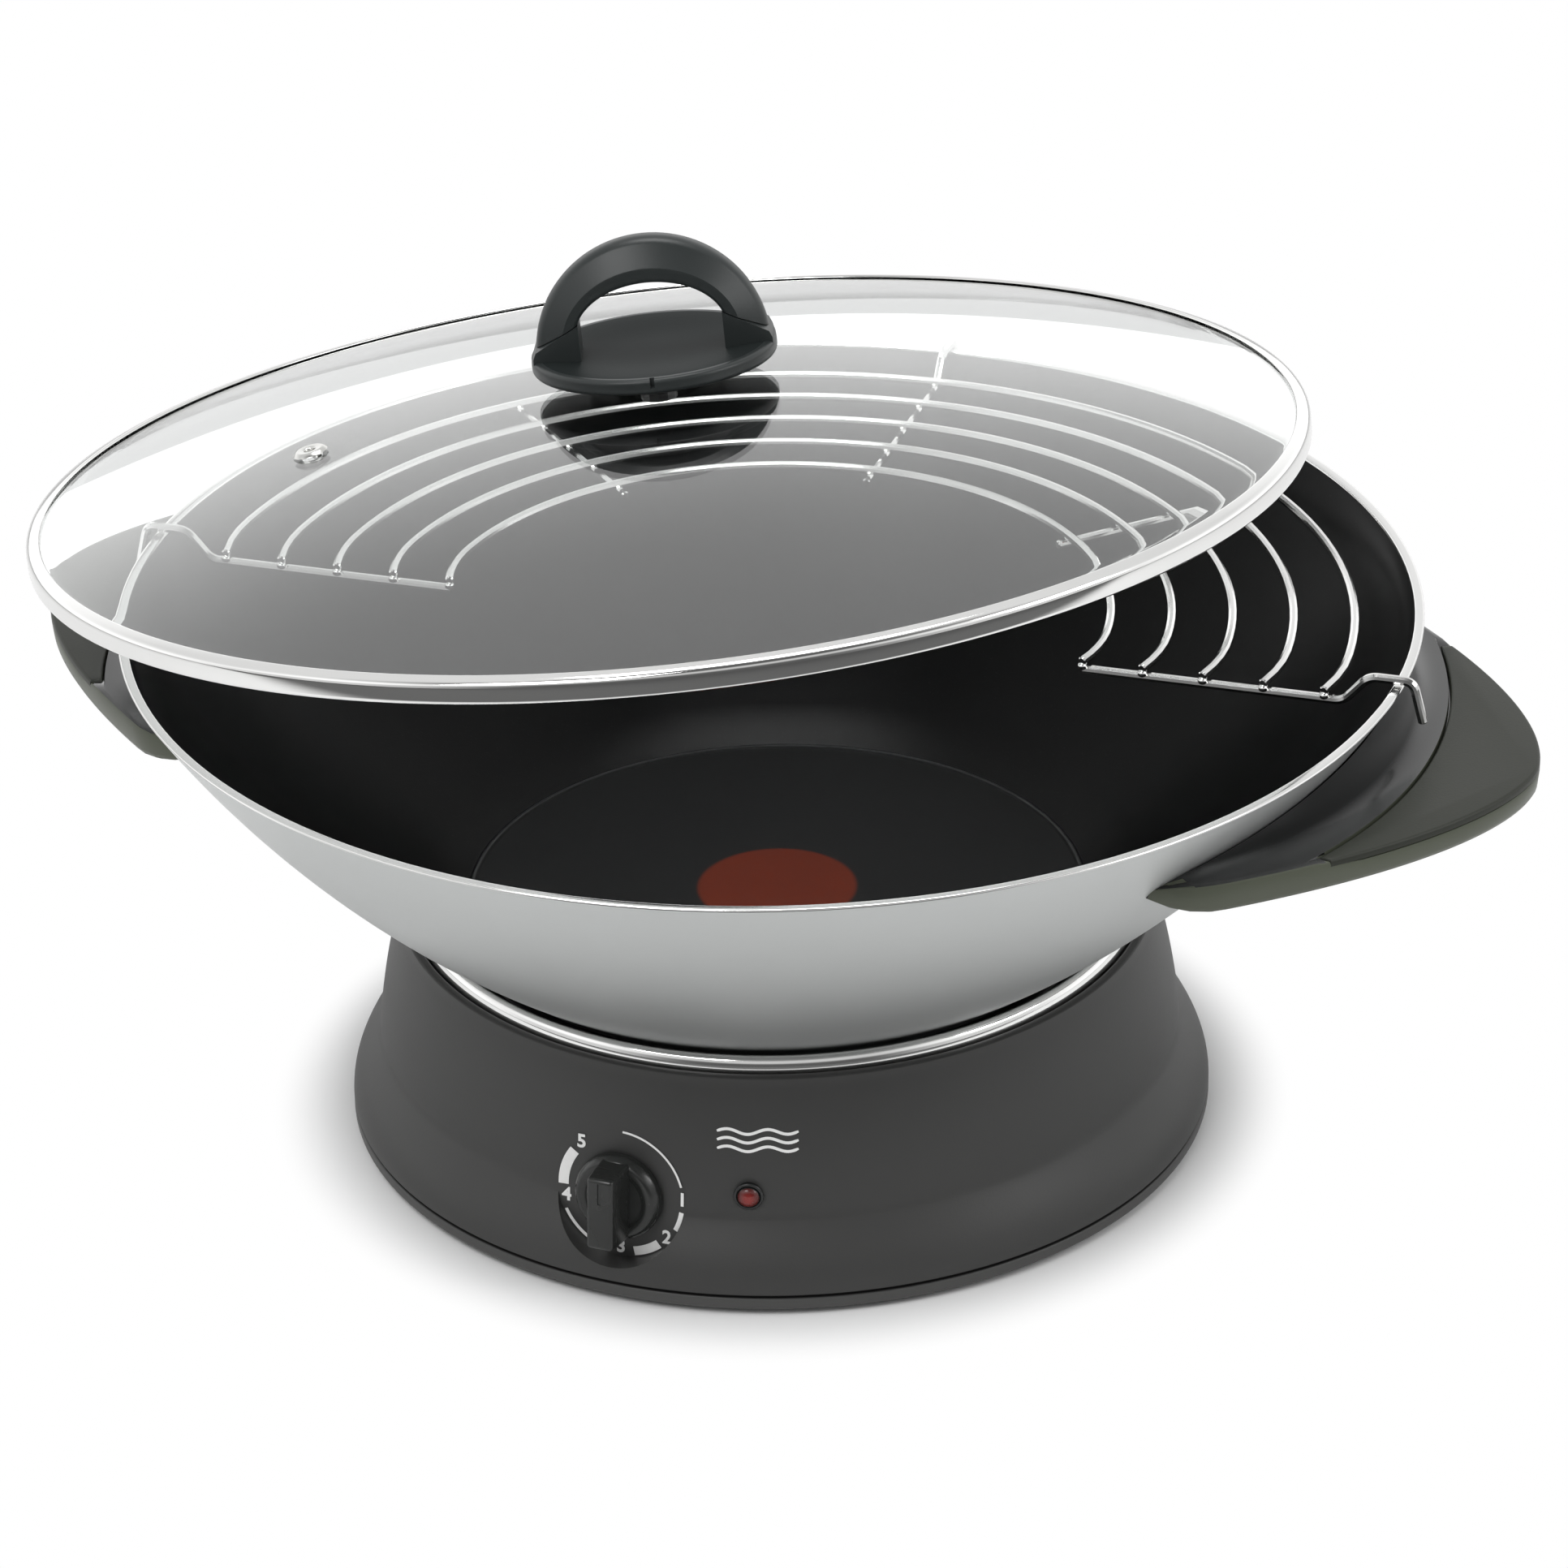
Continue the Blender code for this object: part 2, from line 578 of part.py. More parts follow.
# ---------------------------------------------------------------- controls
def make_dial():
    bracket_front = -DIAL_FLOOR - FIT
    bracket = block(
        "thermostat_bracket",
        BRACKET_SIZE,
        (0, 0, bracket_front - BRACKET_SIZE[2] / 2),
        STEEL,
        dial_frame,
    )
    body_front = bracket_front - BRACKET_SIZE[2] - FIT
    body = block(
        "thermostat_body",
        THERMOSTAT_SIZE,
        (0, 0, body_front - THERMOSTAT_SIZE[2] / 2),
        BLACK_PLASTIC,
        dial_frame,
    )
    way_r = SHAFT_R + 2 * FIT
    body_way_low = body_front - THERMOSTAT_ENTRY
    way = rod("shaft_way", way_r, body_way_low, 0, STEEL, parent=dial_frame)
    work_with(bracket, [way])
    work_with(body, [way])
    knob_low = FIT * 2
    socket_top = knob_low + KNOB_SOCKET
    rod("thermostat_shaft", SHAFT_R, body_way_low + FIT, socket_top - FIT, STEEL, parent=dial_frame)
    knob = turned(
        "control_knob",
        [
            (0, knob_low),
            (KNOB_SKIRT_R, knob_low),
            (KNOB_SKIRT_R, knob_low + KNOB_SKIRT_HEIGHT - 2 * KNOB_BEVEL),
            (KNOB_SKIRT_R - KNOB_BEVEL, knob_low + KNOB_SKIRT_HEIGHT),
            (0, knob_low + KNOB_SKIRT_HEIGHT),
        ],
        BLACK_PLASTIC,
        DIAL_STEPS,
        dial_frame,
    )
    bar_size = (KNOB_BAR_WIDTH, KNOB_BAR_SPAN, KNOB_BAR_HEIGHT - EDGE_EASE)
    bar_centre = (0, 0, knob_low + EDGE_EASE + bar_size[2] / 2)
    bar = block("knob_bar", bar_size, bar_centre, BLACK_PLASTIC, dial_frame)
    socket = rod("knob_socket", SHAFT_R + FIT, -CUT_PAST, socket_top, STEEL, parent=dial_frame)
    work_with(knob, [bar], "UNION")
    work_with(knob, [socket])


def make_pilot_lamp():
    tail = -BASE_WALL - LENS_TAIL
    low_edge, high_edge = LENS_FLANGE
    steps = 4
    lens = [(0, tail), (LENS_STEM_R, tail), (LENS_STEM_R, low_edge), (LENS_R, low_edge)]
    for i in range(steps):
        turn = pi / 2 * i / steps
        lens.append((LENS_R * cos(turn), high_edge + LENS_DOME * sin(turn)))
    lens.append((0, high_edge + LENS_DOME))
    turned("pilot_lens", lens, RED_LENS, SMALL_STEPS, frames["lens"])
    lamp_top = tail - FIT
    rod("pilot_lamp", LAMP_R, lamp_top - LAMP_LENGTH, lamp_top, GLASS, parent=frames["lens"])


def make_inlet():
    spot = frames["inlet"]
    housing = block(
        "inlet_housing",
        (INLET_WIDTH, INLET_HEIGHT, INLET_DEPTH),
        (0, 0, INLET_FLANGE_THICK - INLET_DEPTH / 2),
        BLACK_PLASTIC,
        spot,
    )
    flange_wide = INLET_WIDTH + 2 * INLET_FLANGE
    flange_high = INLET_HEIGHT + 2 * INLET_FLANGE
    flange = block(
        "inlet_flange",
        (flange_wide, flange_high, INLET_FLANGE_THICK),
        (0, 0, INLET_FLANGE_THICK / 2),
        BLACK_PLASTIC,
        spot,
    )
    work_with(housing, [flange], "UNION")
    back = INLET_FLANGE_THICK - INLET_DEPTH + INLET_WALL
    hollow_size = (INLET_WIDTH - 2 * INLET_WALL, INLET_HEIGHT - 2 * INLET_WALL, INLET_DEPTH)
    tools = [block("inlet_socket", hollow_size, (0, 0, back + INLET_DEPTH / 2), BLACK_PLASTIC, spot)]
    pin_low = back - INLET_WALL - PIN_TAIL
    pin_high = back + PIN_OUT
    for name, x, y in PIN_SPOTS:
        centre = (x, y, (pin_low + pin_high) / 2)
        block(f"inlet_pin_{name}", (*PIN_SIZE, pin_high - pin_low), centre, BRASS, spot)
        way_size = (PIN_SIZE[0] + 2 * FIT, PIN_SIZE[1] + 2 * FIT, INLET_WALL * 3)
        tools.append(block(f"pin_way_{name}", way_size, (x, y, back - INLET_WALL / 2), BRASS, spot))
    work_with(housing, tools)


def element_end(way):
    """Where one end of the heating element lies, in plan; way is 1 or -1."""
    turn = pi / 2 - way * ELEMENT_GAP / 2
    return Vector((ELEMENT_R * cos(turn), ELEMENT_R * sin(turn), 0))


def leaving(spot, x, y, z):
    """The first two points of a lead that leaves a terminal straight back along the frame's Z."""
    return [spot @ Vector((x, y, z)), spot @ Vector((x, y, z - LEAD_STRAIGHT))]


def make_leads():
    """Three insulated leads: inlet to thermostat, thermostat to element, element to inlet."""
    inlet = frames["inlet"].matrix_basis
    dial = dial_frame.matrix_basis
    pin_end = INLET_FLANGE_THICK - INLET_DEPTH - PIN_TAIL - FIT
    body_back = -DIAL_FLOOR - 2 * FIT - BRACKET_SIZE[2] - THERMOSTAT_SIZE[2] - FIT
    live = leaving(inlet, PIN_PITCH, PIN_DROP, pin_end)
    neutral = leaving(inlet, -PIN_PITCH, PIN_DROP, pin_end)
    switch_in = leaving(dial, -TERMINAL_PITCH, 0, body_back)
    switch_out = leaving(dial, TERMINAL_PITCH, 0, body_back)
    level = COVER_TOP + LEAD_LEVEL
    element_under = HOT_PLATE_UNDER - FIT - ELEMENT_TUBE - FIT
    right, left = (element_end(way) for way in (1, -1))
    supply = live + [(-0.030, 0.020, level), (-0.040, -0.050, level)] + switch_in[::-1]
    tube("supply_lead", eased(supply, LEAD_EASE), LEAD_DIAMETER, RED_LEAD)
    thermostat = [(left.x, left.y, element_under), (left.x, left.y, level)]
    thermostat += [(-0.010, -0.030, level)] + switch_out[::-1]
    tube("thermostat_lead", eased(thermostat, LEAD_EASE), LEAD_DIAMETER, RED_LEAD)
    element = [(right.x, right.y, element_under), (right.x, right.y, neutral[0].z)]
    element += neutral[::-1]
    tube("element_lead", eased(element, LEAD_EASE), LEAD_DIAMETER, BLUE_LEAD)


# ---------------------------------------------------------------- bowl
def wall_arc():
    """Centre and radius of the outer wall's curve, through the foot and the rim."""
    foot = Vector((BOWL_FLOOR_R + BOWL_WALL + FOOT_EASE[0], BOWL_UNDER + FOOT_EASE[1]))
    rim = Vector((RIM_R, RIM_Z - RIM_EASE))
    chord = rim - foot
    radius = (chord.length ** 2 / 4 + BOWL_WALL_BULGE ** 2) / (2 * BOWL_WALL_BULGE)
    outwards = Vector((chord.y, -chord.x)).normalized()
    centre = (foot + rim) / 2 - outwards * (radius - BOWL_WALL_BULGE)
    return centre, radius, foot


def wall_radius(height):
    """The bowl's outer radius at a height."""
    centre, radius, _ = wall_arc()
    return centre.x + sqrt(radius ** 2 - (height - centre.y) ** 2)


def arc_points(centre, radius, low, high, steps):
    first = asin((low - centre.y) / radius)
    last = asin((high - centre.y) / radius)
    angles = [first + (last - first) * i / steps for i in range(steps + 1)]
    return [(centre.x + radius * cos(a), centre.y + radius * sin(a)) for a in angles]


def make_bowl():
    centre, radius, foot = wall_arc()
    outer = arc_points(centre, radius, foot.y, RIM_Z - RIM_EASE, 7)
    inner_radius = radius - BOWL_WALL
    inner = arc_points(centre, inner_radius, BOWL_FLOOR_Z + FLOOR_EASE, RIM_Z - RIM_EASE, 6)
    outline = [(0, BOWL_UNDER), (BOWL_FLOOR_R, BOWL_UNDER)]
    outline += [(foot.x - FOOT_EASE[0], BOWL_UNDER + EDGE_EASE)]
    outline += outer
    outline += [(RIM_R - RIM_EASE, RIM_Z), (inner[-1][0] + RIM_EASE, RIM_Z)]
    outline += inner[::-1]
    outline += [(BOWL_FLOOR_R + EDGE_EASE, BOWL_FLOOR_Z + EDGE_EASE)]
    outline += [(BOWL_FLOOR_R - EDGE_EASE, BOWL_FLOOR_Z)]
    outline += [(0, BOWL_FLOOR_Z)]
    turned("wok_bowl", outline, BOWL_METAL)


def handle_edge(t):
    """(angle, radius) of the handle's outer edge; t runs from one tip, -1, to the other, 1."""
    x = HANDLE_REACH - (HANDLE_REACH - HANDLE_TIP_X) * abs(t) ** HANDLE_POINTEDNESS
    y = HANDLE_TIP_Y * t
    return atan2(y, x), hypot(x, y)


def seam_radius(angle):
    tip_angle, _ = handle_edge(1)
    return COLLAR_SEAM_R - COLLAR_SEAM_DRAW_IN * (angle / tip_angle) ** 2 * 2


def handle_section(t):
    """The handle's cross-section at t, as (radius, height), with the collar's hollow curve on top."""
    angle, edge = handle_edge(t)
    climb = COLLAR_RISE * (1 - t * t)
    inner_low = wall_radius(HANDLE_BOTTOM) + 2 * FIT
    inner_high = wall_radius(HANDLE_TOP + climb) + 2 * FIT
    seam = min(seam_radius(angle), edge - HANDLE_LOWER_EASE[1])
    section = [(inner_low, HANDLE_BOTTOM)]
    steps = 3
    for k in range(steps + 1):
        s = k / steps
        section.append((inner_high + (seam - inner_high) * s, HANDLE_TOP + climb * (1 - s) ** 2))
    in_by, up_by = HANDLE_LOWER_EASE
    section += [(edge, HANDLE_TOP), (edge, HANDLE_BOTTOM + up_by), (edge - in_by, HANDLE_BOTTOM)]
    return section


def make_handle(side, azimuth):
    stations = HANDLE_STATIONS
    bm = bmesh.new()
    rings = []
    for i in range(stations + 1):
        t = -1 + 2 * i / stations
        angle, _ = handle_edge(t)
        rings.append([bm.verts.new((r * cos(angle), r * sin(angle), z)) for r, z in handle_section(t)])
    for ring, following in zip(rings, rings[1:]):
        count = len(ring)
        for k in range(count):
            n = (k + 1) % count
            bm.faces.new((ring[k], ring[n], following[n], following[k]))
    bm.faces.new(rings[0])
    bm.faces.new(rings[-1])
    spot = frame(f"handle_frame_{side}", Matrix.Rotation(azimuth, 4, "Z"))
    body = solid(f"handle_{side}", bm, BLACK_PLASTIC, spot)
    edges = [handle_edge(-1 + 2 * i / stations) for i in range(stations + 1)]
    over = [(a, r) for a, r in edges if r > seam_radius(a) + PLATE_INSET]
    plate = [(r * cos(a), r * sin(a)) for a, r in over]
    plate += [(seam_radius(a) * cos(a) + FIT, seam_radius(a) * sin(a)) for a, _ in reversed(over)]
    seat_z = HANDLE_TOP - HANDLE_PLATE_THICK
    prism(f"handle_plate_{side}", plate, seat_z, HANDLE_TOP, HANDLE_PLATE, spot)
    grown = [((r + CUT_PAST) * cos(a), (r + CUT_PAST) * sin(a)) for a, r in over]
    grown += [(seam_radius(a) * cos(a), seam_radius(a) * sin(a)) for a, _ in reversed(over)]
    seat_high = HANDLE_TOP + CUT_PAST
    tools = [prism(f"plate_seat_{side}", grown, seat_z - FIT, seat_high, HANDLE_PLATE, spot)]
    flange_top = HANDLE_BOTTOM - FIT
    flange_low = flange_top - BRACKET_THICK
    fall_z = flange_low - BRACKET_FALL
    strap = [
        (wall_radius(flange_top) + 2 * FIT, flange_top),
        (wall_radius(flange_low) + 2 * FIT, flange_low),
        (wall_radius(fall_z) + 2 * FIT, fall_z),
        (wall_radius(fall_z) + 2 * FIT + BRACKET_THICK, fall_z),
        (wall_radius(flange_low) + 2 * FIT + BRACKET_THICK, flange_low),
        (BRACKET_REACH, flange_low),
        (BRACKET_REACH, flange_top),
    ]
    strap_start = -BRACKET_SPREAD
    bracket = turned(f"handle_bracket_{side}", strap, STEEL, 8, spot, strap_start, 2 * BRACKET_SPREAD)
    ways = []
    head_top = flange_low - FIT
    screw = [
        (0, head_top - SCREW_HEAD_HEIGHT),
        (SCREW_HEAD_R, head_top - SCREW_HEAD_HEIGHT),
        (SCREW_HEAD_R, head_top),
        (SCREW_SHANK_R, head_top),
        (SCREW_SHANK_R, HANDLE_BOTTOM + HANDLE_SCREW_BITE),
        (0, HANDLE_BOTTOM + HANDLE_SCREW_BITE),
    ]
    for i, turn in enumerate((-HANDLE_SCREW_SPREAD, HANDLE_SCREW_SPREAD), 1):
        at = Matrix.Rotation(turn, 4, "Z") @ Matrix.Translation((HANDLE_SCREW_R, 0, 0))
        screw_spot = frame(f"handle_screw_at_{side}_{i}", at, spot)
        turned(f"handle_screw_{side}_{i}", screw, STEEL, SMALL_STEPS, screw_spot)
        way_high = HANDLE_BOTTOM + HANDLE_SCREW_BITE + FIT
        way_name = f"handle_way_{side}_{i}"
        ways.append(rod(way_name, SCREW_SHANK_R + FIT, fall_z, way_high, STEEL, parent=screw_spot))
    work_with(bracket, ways)
    work_with(body, tools + ways)


# ---------------------------------------------------------------- rack
def hooked(reach_start):
    """Distances out and heights of a wire that runs out, climbs, and hooks over the rim."""
    foot = RACK_OUTER_R + RACK_OVERHANG
    outside = RIM_R + HOOK_OUT
    return [
        (reach_start, WIRE_LOW),
        (foot, WIRE_LOW),
        (foot + HOOK_RISE_RUN, WIRE_OVER_RIM),
        (outside, WIRE_OVER_RIM),
        (outside + HOOK_SPLAY, WIRE_OVER_RIM - HOOK_TAIL),
    ]


def make_rack():
    spot = frame("rack_frame", Matrix.Translation((0, 0, RIM_Z)) @ Matrix.Rotation(RACK_TURN, 4, "Z"))
    pitch = (RACK_OUTER_R - RACK_INNER_R) / (RACK_ARCS - 1)
    for i in range(RACK_ARCS):
        radius = RACK_INNER_R + pitch * i
        past_end = asin((RACK_FORWARD + RACK_WIRE / 2) / radius)
        steps = 20
        turns = [-past_end + (pi + 2 * past_end) * k / steps for k in range(steps + 1)]
        arc = [(radius * cos(a), radius * sin(a), WIRE_HIGH) for a in turns]
        tube(f"rack_arc_wire_{i + 1}", arc, RACK_WIRE, CHROME, spot)
    start = RACK_INNER_R - RACK_OVERHANG
    for name, way in (("right", 1), ("left", -1)):
        path = [(way * out, -RACK_FORWARD, up) for out, up in hooked(start)]
        tube(f"rack_end_wire_{name}", eased(path, HOOK_EASE), RACK_WIRE, CHROME, spot)
    middle = [(0, out, up) for out, up in hooked(start)]
    tube("rack_cross_wire_middle", eased(middle, HOOK_EASE), RACK_WIRE, CHROME, spot)
    reach = RACK_OUTER_R + RACK_OVERHANG
    for name, turn in CROSS_WIRE_ANGLES.items():
        path = [(r * cos(turn), r * sin(turn), WIRE_LOW) for r in (start, reach)]
        tube(f"rack_cross_wire_{name}", path, RACK_WIRE, CHROME, spot)


# ---------------------------------------------------------------- lid
def glass_height(radius, below=0.0):
    """Height of the glass's outer face above the lid's rim, or of a face that far below it."""
    edge_r = LID_R - BAND_THICK - FIT
    edge_z = BAND_THICK + FIT + GLASS_THICK
    rise = LID_DOME - edge_z
    sphere = (edge_r ** 2 + rise ** 2) / (2 * rise)
    return LID_DOME - sphere + sqrt((sphere - below) ** 2 - radius ** 2)


def make_lid():
    tilt_axis = Vector((-sin(LID_LOW_SIDE), cos(LID_LOW_SIDE), 0))
    centre = Vector((*LID_CENTRE, RIM_Z + LID_ABOVE_RIM))
    spot = frame("lid_frame", Matrix.Translation(centre) @ Matrix.Rotation(LID_TILT, 4, tilt_axis))
    edge_r = LID_R - BAND_THICK - FIT
    steps = 7
    radii = [KNOB_HOLE_R + (edge_r - KNOB_HOLE_R) * i / steps for i in range(steps + 1)]
    outside = [(r, glass_height(r)) for r in radii]
    inside = [(r, glass_height(r, GLASS_THICK)) for r in radii[:-1]]
    lower_edge = (edge_r, BAND_THICK + FIT)
    glass = turned("lid_glass", inside[::-1] + outside + [lower_edge], GLASS, parent=spot)
    grip_r = LID_R - BAND_GRIP
    top_in = glass_height(grip_r) + FIT
    top_out = glass_height(edge_r) + FIT
    band = [
        (grip_r, 0),
        (LID_R - EDGE_EASE, 0),
        (LID_R, EDGE_EASE),
        (LID_R, top_out),
        (LID_R - EDGE_EASE, top_out + BAND_THICK),
        (grip_r, top_in + BAND_THICK),
        (grip_r, top_in),
        (edge_r + FIT, top_out),
        (edge_r + FIT, BAND_THICK),
        (grip_r, BAND_THICK),
    ]
    turned("lid_rim_band", band, STEEL, parent=spot)
    make_vent(glass, spot)
    make_lid_knob(spot)


def make_vent(glass, spot):
    height = glass_height(VENT_R)
    lean = asin(VENT_R / ((LID_R ** 2 + LID_DOME ** 2) / (2 * LID_DOME)))
    at = (
        Matrix.Rotation(VENT_ANGLE, 4, "Z")
        @ Matrix.Translation((VENT_R, 0, height))
        @ Matrix.Rotation(lean, 4, "Y")
    )
    vent_spot = frame("vent_frame", at, spot)
    way = rod("vent_way", VENT_STEM_R + FIT, -CUT_PAST, CUT_PAST, STEEL, parent=vent_spot)
    work_with(glass, [way])
    inside = -GLASS_THICK - VENT_PAST
    flange_top = VENT_SEAT + VENT_PAST
    eyelet = [
        (VENT_BORE_R, inside),
        (VENT_STEM_R, inside),
        (VENT_STEM_R, VENT_SEAT),
        (VENT_FLANGE_R, VENT_SEAT),
        (VENT_FLANGE_R - EDGE_EASE, flange_top),
        (VENT_BORE_R, flange_top),
    ]
    turned("vent_eyelet", eyelet, STEEL, SMALL_STEPS, vent_spot)


def washer(name, bore, outside, low, high, finish, spot):
    outline = [(bore, low), (outside, low), (outside, high), (bore, high)]
    turned(name, outline, finish, 2 * SMALL_STEPS, spot)


def make_lid_knob(spot):
    gasket_low = LID_DOME + FIT
    gasket_top = gasket_low + GASKET_THICK
    base_low = gasket_top + FIT
    disc_top = LID_DOME + KNOB_DISC_TOP
    washer("knob_gasket", KNOB_HOLE_R, GASKET_R, gasket_low, gasket_top, RUBBER, spot)
    disc_low = disc_top - KNOB_DISC_EDGE
    base = turned(
        "knob_base",
        [
            (0, base_low),
            (KNOB_STEM_R, base_low),
            (KNOB_DISC_R - KNOB_FLARE, disc_low),
            (KNOB_DISC_R, disc_low + 2 * EDGE_EASE),
            (KNOB_DISC_R, disc_top - EDGE_EASE),
            (KNOB_DISC_R - EDGE_EASE, disc_top),
            (KNOB_DISC_R / 2, disc_top - KNOB_DISH * 3 / 4),
            (0, disc_top - KNOB_DISH),
        ],
        KNOB_PLASTIC,
        parent=spot,
    )
    outer_r = LID_DOME + GRIP_TOP - disc_top + GRIP_BURY
    hub = disc_top - GRIP_BURY
    seam_outer = disc_top + SEAM_OUTER_UP
    seam_inner = disc_top + SEAM_INNER_UP
    first = asin((seam_outer - hub) / outer_r)
    arc_steps = 12
    grip = []
    for i in range(arc_steps + 1):
        turn = first + (pi - 2 * first) * i / arc_steps
        grip.append((outer_r * cos(turn), hub + outer_r * sin(turn)))
    opening_top = LID_DOME + GRIP_TOP - GRIP_THICK
    opening_mid = seam_inner - OPENING_SPRING
    opening_first = asin((seam_inner - opening_mid) / (opening_top - opening_mid))
    for i in range(arc_steps + 1):
        turn = pi - opening_first - (pi - 2 * opening_first) * i / arc_steps
        up = opening_mid + (opening_top - opening_mid) * sin(turn)
        grip.append((GRIP_OPENING_HALF * cos(turn), up))
    near = -GRIP_DEPTH / 2
    prism("knob_grip", grip, near, -near, KNOB_PLASTIC, spot, up="Y")
    inner_x = GRIP_OPENING_HALF * cos(opening_first)
    ears = []
    for name, way in (("right", 1), ("left", -1)):
        ear = [
            (way * inner_x, seam_inner - FIT),
            (way * inner_x, disc_top - EAR_BURY),
            (way * (outer_r - KNOB_FLARE), disc_top - EAR_BURY),
            (way * (outer_r * cos(first / 2)), hub),
            (way * grip[0][0], seam_outer - FIT),
        ]
        ears.append(prism(f"knob_ear_{name}", ear, near, -near, KNOB_PLASTIC, spot, up="Y"))
    work_with(base, ears, "UNION")
    under_glass = glass_height(0, GLASS_THICK)
    washer_top = under_glass - FIT
    washer_low = washer_top - WASHER_THICK
    washer("knob_washer", KNOB_SCREW_R + FIT, WASHER_R, washer_low, washer_top, STEEL, spot)
    head_top = washer_low - FIT
    screw_top = disc_top - KNOB_DISH - KNOB_SCREW_COVER
    turned(
        "knob_screw",
        [
            (0, head_top - KNOB_SCREW_HEAD),
            (KNOB_SCREW_HEAD_R, head_top - KNOB_SCREW_HEAD),
            (KNOB_SCREW_HEAD_R, head_top),
            (KNOB_SCREW_R, head_top),
            (KNOB_SCREW_R, screw_top),
            (0, screw_top),
        ],
        STEEL,
        SMALL_STEPS,
        spot,
    )
    way_r = KNOB_SCREW_R + FIT
    way = rod("knob_screw_way", way_r, gasket_low, screw_top + FIT, STEEL, parent=spot)
    work_with(base, [way])


# ---------------------------------------------------------------- the whole wok
for old in list(bpy.data.objects):
    bpy.data.objects.remove(old, do_unlink=True)

face_out = Matrix.Rotation(radians(90), 4, "Y")
inlet_out = side_radius(INLET_Z - INLET_HEIGHT / 2 - INLET_FLANGE) + FIT
frames = {
    "lens": frame(
        "lens_frame",
        Matrix.Rotation(LENS_AZIMUTH, 4, "Z")
        @ Matrix.Translation((side_radius(LENS_Z), 0, LENS_Z))
        @ face_out,
    ),
    "inlet": frame(
        "inlet_frame",
        Matrix.Translation((0, inlet_out, INLET_Z))
        @ Matrix.Rotation(pi, 4, "Z")
        @ Matrix.Rotation(radians(90), 4, "X"),
    ),
}
# The dial frame's Z leaves the dial face and its Y points up the face.
dial_frame = frame(
    "dial_frame",
    Matrix.Rotation(DIAL_AZIMUTH + pi / 2, 4, "Z")
    @ Matrix.Translation((0, -DIAL_OUT, DIAL_Z))
    @ Matrix.Rotation(pi / 2 - DIAL_TILT, 4, "X"),
)

make_base_shell()
make_trim_ring()
make_bottom_cover()
make_cover_screws_and_feet()
make_heater()
make_dial()
make_pilot_lamp()
make_inlet()
make_leads()
make_bowl()
for handle_side, handle_azimuth in HANDLE_AZIMUTHS.items():
    make_handle(handle_side, handle_azimuth)
make_rack()
make_lid()
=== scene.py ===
"""Electric wok: the fine surfaces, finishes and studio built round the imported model."""

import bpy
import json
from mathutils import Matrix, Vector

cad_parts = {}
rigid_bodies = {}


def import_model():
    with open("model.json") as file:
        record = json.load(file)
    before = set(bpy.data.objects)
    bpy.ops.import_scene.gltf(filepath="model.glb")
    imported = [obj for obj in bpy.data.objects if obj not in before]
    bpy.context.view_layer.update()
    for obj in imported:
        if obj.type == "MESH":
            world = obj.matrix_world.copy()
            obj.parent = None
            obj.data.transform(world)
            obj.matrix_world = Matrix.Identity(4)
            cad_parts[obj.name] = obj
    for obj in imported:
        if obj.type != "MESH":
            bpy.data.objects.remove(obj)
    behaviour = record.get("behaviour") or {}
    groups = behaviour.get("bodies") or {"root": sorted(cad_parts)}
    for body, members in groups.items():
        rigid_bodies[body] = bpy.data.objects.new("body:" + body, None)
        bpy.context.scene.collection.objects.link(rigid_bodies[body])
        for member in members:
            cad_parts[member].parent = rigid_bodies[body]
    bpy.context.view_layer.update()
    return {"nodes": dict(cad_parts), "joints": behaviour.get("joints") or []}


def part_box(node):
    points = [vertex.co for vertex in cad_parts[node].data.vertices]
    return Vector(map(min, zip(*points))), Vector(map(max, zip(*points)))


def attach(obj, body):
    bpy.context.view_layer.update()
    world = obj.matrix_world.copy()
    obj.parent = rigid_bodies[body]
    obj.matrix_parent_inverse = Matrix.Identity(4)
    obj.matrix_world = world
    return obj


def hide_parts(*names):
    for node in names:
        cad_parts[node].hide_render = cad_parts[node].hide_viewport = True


bl_info = {
    "name": "Electric Wok",
    "version": (1, 0, 0),
    "blender": (4, 5, 0),
    "location": "View3D > Sidebar > Wok",
    "description": "Builds the visible pieces of an electric wok with its rack and glass lid",
    "category": "Add Mesh",
}

import json
from math import asin, atan2, cos, hypot, pi, radians, sin, sqrt, tau

import bmesh
import bpy
from bpy.props import FloatProperty, FloatVectorProperty, IntProperty
from mathutils import Matrix, Vector

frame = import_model()


def low_of(node):
    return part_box(node)[0]


def high_of(node):
    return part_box(node)[1]


def middle_of(node):
    low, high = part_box(node)
    return (low + high) / 2


def upright_at(node):
    """A matrix that puts the Z axis through the node's middle."""
    middle = middle_of(node)
    return Matrix.Translation((middle.x, middle.y, 0))


GAP = 0.0003
TINY = 1e-6
RIM_Z = high_of("wok_bowl").z
BOWL_UNDER = low_of("wok_bowl").z
BASE_TOP_Z = high_of("base_shell").z
SHELL_LOW_Z = low_of("base_shell").z
HANDLE_LOW_Z = low_of("handle_right").z
HANDLE_TOP_Z = high_of("handle_plate_right").z
DIAL_JOINT = next(j for j in frame["joints"] if j["name"] == "thermostat_turn")

